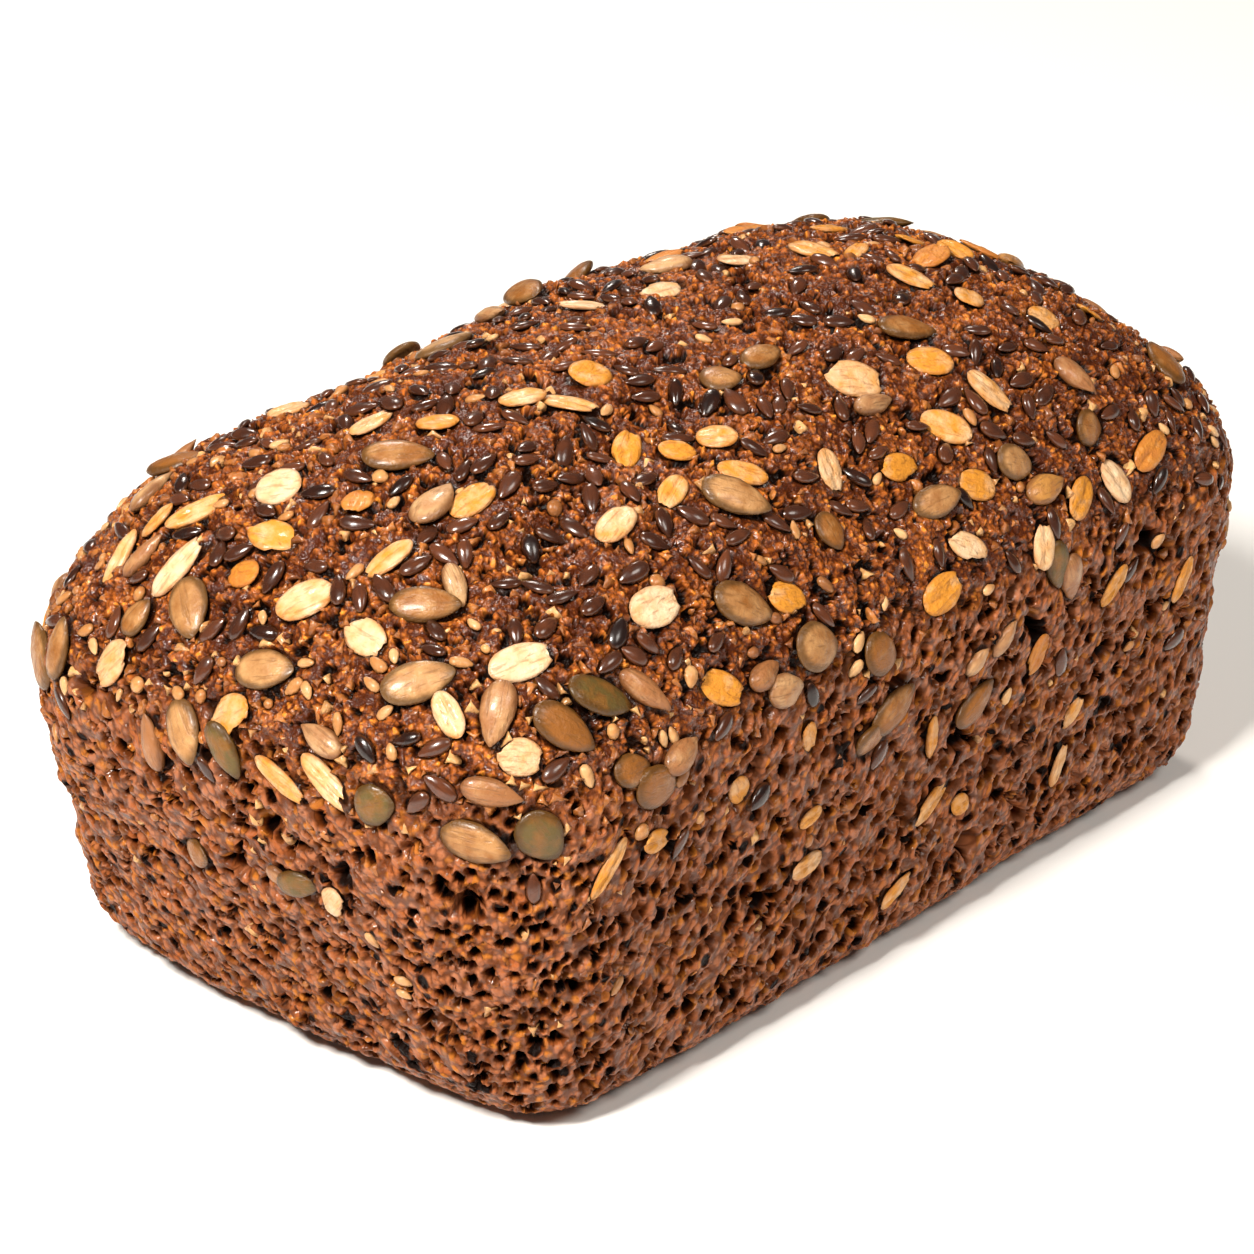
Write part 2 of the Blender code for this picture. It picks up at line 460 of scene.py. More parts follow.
@dataclass
class Crust:
    """The loaf's skin, from a fine smooth shell to dressed pieces with their relief."""

    grid: float = 0.38 * MM
    smoothing: int = 6
    weld: float = 0.01 * MM
    shoulder_low: float = 0.56      # share of the loaf's height where the crown's look begins
    shoulder_high: float = 0.68     # where it is complete
    base_share: float = 0.02        # share of the height that belongs to the base's piece
    middle_share: float = 0.31      # half the middle crown piece, as a share of the half length
    swell_spacing: float = 8.0 * MM
    swell_height: float = 2.4 * MM
    swell_start: tuple[float, float] = (0.5 * MM, 4.0 * MM)     # heights where swelling sets in
    furrow: tuple = ((-76.0, -27.0), (-56.0, -31.0), (-42.0, -24.0), (-20.0, -22.0))
    furrow_depth: float = 1.8 * MM
    furrow_width: float = 5.0 * MM
    furrow_rise: tuple[float, float] = (0.6, 0.75)  # shares of the height where it sets in
    pressed_height: float = -0.35   # millimetres: the dough's relief under a seed
    relief_start: float = 2.5       # millimetres above the base where the relief is full
    underside: float = 0.1 * MM     # height below which the base counts as flat
    underside_detail: float = 0.3   # share of the flat underside's faces that stays
    skin: bpy.types.Object | None = None

    def grow_skin(self) -> None:
        """Grow a fine, even skin from a copy of the loaf's solid."""
        activate(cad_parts[LOAF])
        bpy.ops.object.duplicate()
        skin = bpy.context.object
        skin.name = "crust_skin"
        skin.parent = None
        for key in list(skin.keys()):
            del skin[key]
        skin.data.materials.clear()
        bpy.ops.object.mode_set(mode="EDIT")
        bpy.ops.mesh.select_all(action="SELECT")
        bpy.ops.mesh.remove_doubles(threshold=self.weld)
        bpy.ops.object.mode_set(mode="OBJECT")
        apply_modifier(skin, "REMESH", mode="VOXEL", voxel_size=self.grid)
        apply_modifier(skin, "SMOOTH", factor=0.5, iterations=self.smoothing)
        self.skin = skin
        self.press_furrow()
        self.swell()
        points = read_points(skin.data)
        low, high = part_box(LOAF)
        height = (points[:, 2] - low.z) / (high.z - low.z)
        write_attribute(skin.data, "rest", points / MM)
        write_attribute(skin.data, "crown",
                        smooth_step(self.shoulder_low, self.shoulder_high, height))

    def press_furrow(self) -> None:
        """Press the shallow furrow where the dough folded as it rose."""
        mesh = self.skin.data
        points = read_points(mesh)
        nearest = np.full(len(points), np.inf)
        path = [np.array(stop) * MM for stop in self.furrow]
        for start, end in zip(path, path[1:]):
            along = end - start
            share = np.clip((points[:, :2] - start) @ along / float(along @ along), 0.0, 1.0)
            gap = points[:, :2] - start - share[:, None] * along
            nearest = np.minimum(nearest, np.sqrt((gap ** 2).sum(axis=1)))
        sink = self.furrow_depth * np.exp(-(nearest / self.furrow_width) ** 2)
        sink *= smooth_step(*self.furrow_rise, points[:, 2] / points[:, 2].max())
        points -= read_normals(mesh) * sink[:, None]
        mesh.vertices.foreach_set("co", points.astype(np.float32).ravel())
        mesh.update()

    def swell(self) -> None:
        """Make the dough swell unevenly."""
        clouds = bpy.data.textures.new("dough_swell", "CLOUDS")
        clouds.noise_scale = self.swell_spacing
        clouds.noise_depth = 2
        apply_modifier(self.skin, "DISPLACE", texture=clouds, texture_coords="LOCAL",
                       mid_level=0.5, strength=self.swell_height,
                       vertex_group=self.above_base())

    def above_base(self) -> str:
        """Group the points above the base, with a soft edge, and return the group's name."""
        group = self.skin.vertex_groups.new(name="above_base")
        rise = smooth_step(*self.swell_start, read_points(self.skin.data)[:, 2])
        steps = np.round(rise * 10).astype(int)
        for step in range(1, 11):
            group.add(np.flatnonzero(steps == step).tolist(), step / 10, "REPLACE")
        return group.name

    def raise_relief(self, pressed: np.ndarray) -> None:
        """Raise the dough's relief on the skin.

        Args:
            pressed: For each point, how far a seed holds the dough down, from 0 to 1.
        """
        write_attribute(self.skin.data, "pressed", pressed)
        tree = bpy.data.node_groups.new("dough_relief", "GeometryNodeTree")
        for way in ("INPUT", "OUTPUT"):
            tree.interface.new_socket("Geometry", in_out=way, socket_type="NodeSocketGeometry")
        nodes = Nodes(tree)
        place, crown, held = (
            nodes.add("GeometryNodeInputNamedAttribute", {"Name": name}, data_type=kind)
            for name, kind in (("rest", "FLOAT_VECTOR"), ("crown", "FLOAT"),
                               ("pressed", "FLOAT")))
        dough = Dough(nodes)
        shell = nodes.add("NodeGroupInput")
        places = dough.places(place)
        for name, value in places.items():
            shell = nodes.add("GeometryNodeStoreNamedAttribute",
                              {"Geometry": shell, "Name": name, "Value": value},
                              data_type="FLOAT_VECTOR", domain="POINT")
        height = dough.wall(places["web_place"], places["hole_place"])["height"]
        top = dough.crown(places["crown_place"])["height"]
        for share, other in ((crown, top), (held, self.pressed_height)):
            height = nodes.add("ShaderNodeMix", {0: share, 2: height, 3: other}, data_type="FLOAT")
        base = nodes.add("ShaderNodeSeparateXYZ", {0: place}, output="Z")
        rise = nodes.add("ShaderNodeMapRange", {
            "Value": base, "From Min": 0.0, "From Max": self.relief_start, "To Min": 0.0,
            "To Max": MM})
        height = nodes.add("ShaderNodeMath", {0: height, 1: rise}, operation="MULTIPLY")
        offset = nodes.add("ShaderNodeVectorMath", {
            0: nodes.add("GeometryNodeInputNormal"), "Scale": height}, operation="SCALE")
        raised = nodes.add("GeometryNodeSetPosition", {"Geometry": shell, "Offset": offset})
        nodes.add("NodeGroupOutput", {0: raised})
        apply_modifier(self.skin, "NODES", node_group=tree)

    def seed_bed(self) -> "SeedBed":
        """Return the skin as a bed for seeds."""
        mesh = self.skin.data
        area = sum(polygon.area for polygon in mesh.polygons) / len(mesh.vertices)
        return SeedBed(read_points(mesh), read_normals(mesh),
                       read(mesh.attributes["crown"].data, "value"), area)

    def shared_out(self) -> dict[CrustPart, np.ndarray]:
        """Share the skin's faces out among the pieces.

        Returns:
            For each piece, which faces it takes.
        """
        mesh = self.skin.data
        corners = read(mesh.loops, "vertex_index", kind=np.int32)
        first = read(mesh.polygons, "loop_start", kind=np.int32)
        rest = read(mesh.attributes["rest"].data, "vector", 3)
        place = rest[corners[first]] * MM
        low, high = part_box(LOAF)
        rise = (place[:, 2] - low.z) / (high.z - low.z)
        is_base = place[:, 2] < low.z + self.base_share * (high.z - low.z)
        is_crown = rise > self.shoulder_high
        is_shoulder = (rise > self.shoulder_low) & ~is_crown
        is_end = np.abs(place[:, 0]) - high.x > np.abs(place[:, 1]) - high.y
        is_wall = ~is_crown & ~is_shoulder & ~is_base
        third = high.x * self.middle_share
        return {
            CrustPart.BASE: is_base,
            CrustPart.CROWN_LEFT: is_crown & (place[:, 0] < -third),
            CrustPart.CROWN_MIDDLE: is_crown & (np.abs(place[:, 0]) <= third),
            CrustPart.CROWN_RIGHT: is_crown & (place[:, 0] > third),
            CrustPart.FRONT: is_wall & ~is_end & (place[:, 1] < 0.0),
            CrustPart.BACK: is_wall & ~is_end & (place[:, 1] >= 0.0),
            CrustPart.LEFT_END: is_wall & is_end & (place[:, 0] < 0.0),
            CrustPart.RIGHT_END: is_wall & is_end & (place[:, 0] >= 0.0),
            CrustPart.SHOULDER: is_shoulder,
        }

    def cut_apart(self) -> dict[CrustPart, bpy.types.Object]:
        """Cut the skin into its pieces, which keep the whole skin's normals.

        Returns:
            The pieces.
        """
        mesh = self.skin.data
        write_attribute(mesh, "skin_normal", read_normals(mesh))
        pieces = {}
        for part, chosen in self.shared_out().items():
            piece = self.skin.copy()
            piece.data = mesh.copy()
            piece.name = part.value
            piece.data.name = part.value
            bpy.context.collection.objects.link(piece)
            self.keep_faces(piece, chosen)
            if part is CrustPart.BASE:
                self.thin_out(piece)
            pieces[part] = piece
        bpy.data.objects.remove(self.skin)
        return pieces

    def thin_out(self, piece: bpy.types.Object) -> None:
        """Leave fewer faces on the flat underside, but keep its rim as it is."""
        flat = np.flatnonzero(read_points(piece.data)[:, 2] < self.underside)
        group = piece.vertex_groups.new(name="flat_underside")
        group.add(flat.tolist(), 1.0, "REPLACE")
        apply_modifier(piece, "DECIMATE", ratio=self.underside_detail, vertex_group=group.name)

    @staticmethod
    def keep_faces(piece: bpy.types.Object, kept: np.ndarray) -> None:
        """Delete all faces of a piece but the kept ones, and set its normals.

        Args:
            piece: A copy of the whole skin.
            kept: True for each face that stays.
        """
        activate(piece)
        bpy.ops.object.mode_set(mode="EDIT")
        bpy.ops.mesh.select_mode(type="FACE")
        bpy.ops.mesh.select_all(action="DESELECT")
        bpy.ops.object.mode_set(mode="OBJECT")
        piece.data.polygons.foreach_set("select", ~kept)
        bpy.ops.object.mode_set(mode="EDIT")
        bpy.ops.mesh.delete(type="FACE")
        bpy.ops.object.mode_set(mode="OBJECT")
        piece.data.shade_smooth()
        piece.data.normals_split_custom_set_from_vertices(
            read(piece.data.attributes["skin_normal"].data, "vector", 3))


# ---- crust finish ---------------------------------------------------------------------------


def shaded(nodes: Nodes, colour: Socket | tuple, layers: tuple) -> Socket:
    """Lay shades over a colour, one after the other.

    Args:
        nodes: The material's nodes.
        colour: The colour underneath.
        layers: Pairs of how far a shade covers what lies under it, and its hex colour.

    Returns:
        The colour.
    """
    for share, shade in layers:
        colour = nodes.add("ShaderNodeMix", {0: share, 6: colour, 7: linear(shade)}, output=2,
                           data_type="RGBA")
    return colour


@dataclass(frozen=True)
class CrustFinish:
    """Baked rye crust: dark malted dough, matt on the walls and oily-wet on the crown.

    The walls show reddish webs of crumb. Painted shade darkens the valleys between the web's
    lumps and the pores, and paints the pits and holes near-black. On the crown, painted shade
    darkens the low dough and the cavities, raised lumps are lighter, and some tops take an amber
    that is partly the dough's own and partly painted highlight. A painted shadow darkens the
    dough round each seed. The crown has small sharp lights where the oil stands. Noise scales
    are in waves for each millimetre.
    """

    web: str = "985228"
    web_pink: str = "9E6242"
    # painted shade: darkens the valleys between the web's lumps, and the pores
    valley_shade: str = "4A220A"
    amber: str = "AC6420"
    # painted shade: the next two darken the pits and holes, on their walls and, near-black, at
    # their floors
    pit_floor_shade: str = "140703"
    pit_wall_shade: str = "6A300C"
    # the crown's next three: the darkest is painted shade on low dough between lumps, the middle
    # one lies on raised lumps, and the amber one is partly the dough's own amber, partly painted
    # highlight on some tops
    crown_mid: str = "AC5C22"
    crown_dark: str = "461C07"
    crown_amber_and_highlight: str = "D8882E"
    # painted shade: near-black in the crown's cavities, and a painted shadow in the dough round
    # each seed
    cavity: str = "100502"
    bump_reach: float = 0.7 * MM

    def blended(self, nodes: Nodes, zone: CrustZone, wall: object, crown: object,
                kind: str = "FLOAT") -> object:
        """Choose the walls' or the crown's value, or blend the two on the shoulder.

        Args:
            nodes: The material's nodes.
            zone: Zone of the crust that the material is for.
            wall: The walls' value, a socket or a number.
            crown: The crown's.
            kind: FLOAT, or RGBA for a colour.

        Returns:
            The zone's value.
        """
        if zone is not CrustZone.SHOULDER:
            return wall if zone is CrustZone.WALL else crown
        first, output = (6, 2) if kind == "RGBA" else (2, 0)
        share = nodes.add("ShaderNodeAttribute", output="Fac", attribute_name="crown")
        return nodes.add("ShaderNodeMix", {0: share, first: wall, first + 1: crown},
                         output=output, data_type=kind)

    def build(self, zone: CrustZone) -> bpy.types.Material:
        """Build the crust's material for one zone.

        Args:
            zone: The zone.

        Returns:
            The material.
        """
        material, nodes = new_material(f"baked_rye_crust_{zone.value}")
        place, web_place, hole_place, crown_place = (
            nodes.add("ShaderNodeAttribute", output="Vector", attribute_name=name)
            for name in ("rest", "web_place", "hole_place", "crown_place"))
        held = nodes.add("ShaderNodeAttribute", output="Fac", attribute_name="pressed")
        dough = Dough(nodes)
        wall = {} if zone is CrustZone.CROWN else dough.wall(web_place, hole_place)
        top = {} if zone is CrustZone.WALL else dough.crown(crown_place)
        colour = self.blended(nodes, zone, wall and self.wall_colour(nodes, place, wall),
                              top and self.crown_colour(nodes, place, top), "RGBA")
        # painted shadow: the dough held down round each seed is darkened, as if the seed shaded it
        gap = nodes.add("ShaderNodeMapRange", {"Value": held, "From Min": 0.05,
                                               "From Max": 0.6, "To Max": 0.8})
        colour = shaded(nodes, colour, ((gap, self.cavity),))
        grain = nodes.add("ShaderNodeTexNoise", {"Vector": place, "Scale": 1.9, "Detail": 2.0,
                                                 "Roughness": 0.6})
        height = nodes.add("ShaderNodeMath", {
            0: grain, 1: self.blended(nodes, zone, 0.35, 0.65),
            2: self.blended(nodes, zone, wall.get("fine"), top.get("fine"))},
            operation="MULTIPLY_ADD")
        bump = nodes.add("ShaderNodeBump", {"Height": height, "Distance": self.bump_reach,
                                            "Strength": 0.8})
        shine = nodes.add("ShaderNodeMapRange", {
            "Value": grain, "From Min": 0.3, "From Max": 0.7, "To Min": -0.15,
            "To Max": 0.15})
        rough = nodes.add("ShaderNodeMath", {0: self.blended(nodes, zone, 0.50, 0.33),
                                             1: shine}, operation="ADD")
        smear = nodes.add("ShaderNodeTexNoise", {"Vector": place, "Scale": 0.5, "Detail": 3.0})
        smear = nodes.add("ShaderNodeMapRange", {"Value": smear, "From Min": 0.40,
                                                 "From Max": 0.58})
        hollow = self.blended(nodes, zone, wall.get("pits"), top.get("cavity"))
        dry = nodes.add("ShaderNodeMapRange", {"Value": hollow, "From Min": 0.05,
                                               "From Max": 0.3, "To Min": 1.0, "To Max": 0.0})
        oil = self.blended(nodes, zone, 0.6, 0.9)
        for share in (smear, dry):
            oil = nodes.add("ShaderNodeMath", {0: oil, 1: share}, operation="MULTIPLY")
        shader = nodes.add("ShaderNodeBsdfPrincipled", {
            "Base Color": colour, "Roughness": rough, "Normal": bump,
            "Specular IOR Level": 0.1, "Coat Weight": oil, "Coat Roughness": 0.12,
            "Coat Normal": bump, "IOR": 1.45})
        nodes.add("ShaderNodeOutputMaterial", {"Surface": shader})
        return material

    def wall_colour(self, nodes: Nodes, place: Socket, wall: dict[str, Socket]) -> Socket:
        """Colour the walls' web, and paint shade into its valleys, pores, pits and holes.

        Args:
            nodes: The material's nodes.
            place: Place in millimetres.
            wall: Sockets of the walls' pattern.

        Returns:
            The colour.
        """
        patches = nodes.add("ShaderNodeTexNoise", {"Vector": place, "Scale": 0.22, "Detail": 3.0})
        patches, bits, valley, edge, deep = (
            nodes.add("ShaderNodeMapRange", {"Value": value, "From Min": low,
                                             "From Max": high, "To Max": most})
            for value, low, high, most in (
                (patches, 0.38, 0.62, 1.0), (wall["chance"], 0.72, 0.86, 0.9),
                (wall["lumps"], 0.55, 0.0, 0.85), (wall["pits"], 0.05, 0.35, 1.0),
                (wall["pits"], 0.18, 0.52, 1.0)))
        # painted shade: darkens the valleys between the web's lumps and the pores
        valley = nodes.add("ShaderNodeMath", {0: valley, 1: wall["pores"]}, operation="MAXIMUM")
        # painted shade: the last two layers darken the pits' and holes' walls and, near-black,
        # their floors
        return shaded(nodes, linear(self.web), (
            (patches, self.web_pink), (bits, self.amber), (valley, self.valley_shade),
            (edge, self.pit_wall_shade), (deep, self.pit_floor_shade)))

    def crown_colour(self, nodes: Nodes, place: Socket, top: dict[str, Socket]) -> Socket:
        """Colour the crown's lumps, with painted shade in the low dough and cavities.

        Args:
            nodes: The material's nodes.
            place: Place in millimetres.
            top: Sockets of the crown's pattern.

        Returns:
            The colour.
        """
        # painted shade and highlight by height: low dough stays dark, raised lumps come out
        # lighter, and some tops take an amber that is partly the dough's own and partly painted
        # highlight; random patches shift it
        raised = nodes.add("ShaderNodeMath", {0: top["beads"], 1: 0.5, 2: top["grown"]},
                           operation="MULTIPLY_ADD")
        patches = nodes.add("ShaderNodeTexNoise", {"Vector": place, "Scale": 0.16, "Detail": 3.0})
        patches = nodes.add("ShaderNodeMath", {0: patches, 1: 1.6, 2: -0.86},
                            operation="MULTIPLY_ADD")
        raised = nodes.add("ShaderNodeMath", {0: raised, 1: patches}, operation="ADD")
        amber = nodes.add("ShaderNodeMath", {0: raised, 1: top["chance"]}, operation="MULTIPLY")
        rise, amber = (
            nodes.add("ShaderNodeMapRange", {"Value": value, "From Min": low,
                                             "From Max": high})
            for value, low, high in ((raised, 0.10, 0.95), (amber, 0.46, 1.0)))
        return shaded(nodes, linear(self.crown_dark), (
            (rise, self.crown_mid), (amber, self.crown_amber_and_highlight),
            # painted shade: near-black in the cavities
            (top["cavity"], self.cavity)))


# ---- seeds, kernels and flakes --------------------------------------------------------------


class Kernel(Enum):
    """The kinds of seed and grain on the loaf."""

    PUMPKIN = "pumpkin_kernels"
    SUNFLOWER = "sunflower_kernels"
    OAT = "oat_flakes"
    FLAX = "flax_seeds"
    SESAME = "sesame_seeds"
    MILLET = "millet_grains"
    NIB = "cracked_rye_nibs"


@dataclass(frozen=True)
class KernelSize:
    """Size, spread and shape of one kind of kernel. Lengths are in millimetres."""

    length: float
    width: float
    thickness: float
    point: float = 0.0           # how far the front end is drawn to a point, from 0 to 1
    bulk_shift: float = 0.0      # how far the widest place lies behind the middle
    segments: int = 8
    rings: int = 6
    sunk: float = 0.35           # share of the thickness that lies under the skin
    size_spread: float = 0.12
    crown: float = 0.1           # seeds per square centimetre on the crown
    shoulder: float = 0.1        # on the shoulders
    wall: float = 0.0            # on the upper half of the walls
    near_gain: float = 0.0       # extra share towards the left end
    crowding: float = 0.0        # how far neighbours may lap over each other
    uneven: float = 0.2          # height of the unevenness
    left_over: float = 0.25      # share strewn where the large ones are laid one by one


SIZES = {
    Kernel.PUMPKIN: KernelSize(10.8, 6.3, 2.3, point=0.55, bulk_shift=0.10, segments=28,
                               rings=18, sunk=0.30, crown=0.085, shoulder=0.15, wall=0.012,
                               near_gain=0.5, uneven=0.30),
    Kernel.SUNFLOWER: KernelSize(8.8, 4.2, 2.5, point=0.75, bulk_shift=0.20, segments=20,
                                 rings=16, sunk=0.32, crown=0.11, shoulder=0.14,
                                 wall=0.015, near_gain=0.6, uneven=0.35),
    Kernel.OAT: KernelSize(8.0, 5.0, 1.1, segments=28, rings=9, sunk=0.30,
                           size_spread=0.16, crown=0.27, shoulder=0.26, wall=0.12,
                           near_gain=0.4, uneven=0.45),
    Kernel.FLAX: KernelSize(5.0, 2.6, 1.3, point=0.6, bulk_shift=0.12, rings=7, sunk=0.32,
                            crown=1.5, shoulder=0.7, wall=0.06, near_gain=0.5,
                            crowding=0.2, uneven=0.08),
    Kernel.SESAME: KernelSize(3.0, 1.8, 1.1, point=0.6, bulk_shift=0.15, size_spread=0.25,
                              crown=0.12, shoulder=0.22, wall=0.06, near_gain=3.5,
                              crowding=0.2, uneven=0.25),
    Kernel.MILLET: KernelSize(2.2, 2.0, 1.4, sunk=0.40, size_spread=0.25, crown=0.04,
                              shoulder=0.10, wall=0.02, near_gain=3.0, crowding=0.2,
                              uneven=0.35),
    Kernel.NIB: KernelSize(2.6, 1.8, 1.5, sunk=0.48, size_spread=0.50, crown=1.5,
                           shoulder=2.4, wall=1.3, near_gain=2.5, crowding=0.40,
                           uneven=0.30),
}


@dataclass(frozen=True)
class Landmark:
    """One large kernel laid at a listed place. Lengths are in millimetres, from the loaf's middle.

    On the crown the height is left at 0. The turn is how far the front end rises above the
    horizontal, in degrees, as seen from above the near corner.
    """

    kind: Kernel
    along: float
    across: float
    height: float
    turn: float
    length: float
    width: float
    form: int
    tone: float


PUMPKIN, SUNFLOWER, OAT = Kernel.PUMPKIN, Kernel.SUNFLOWER, Kernel.OAT

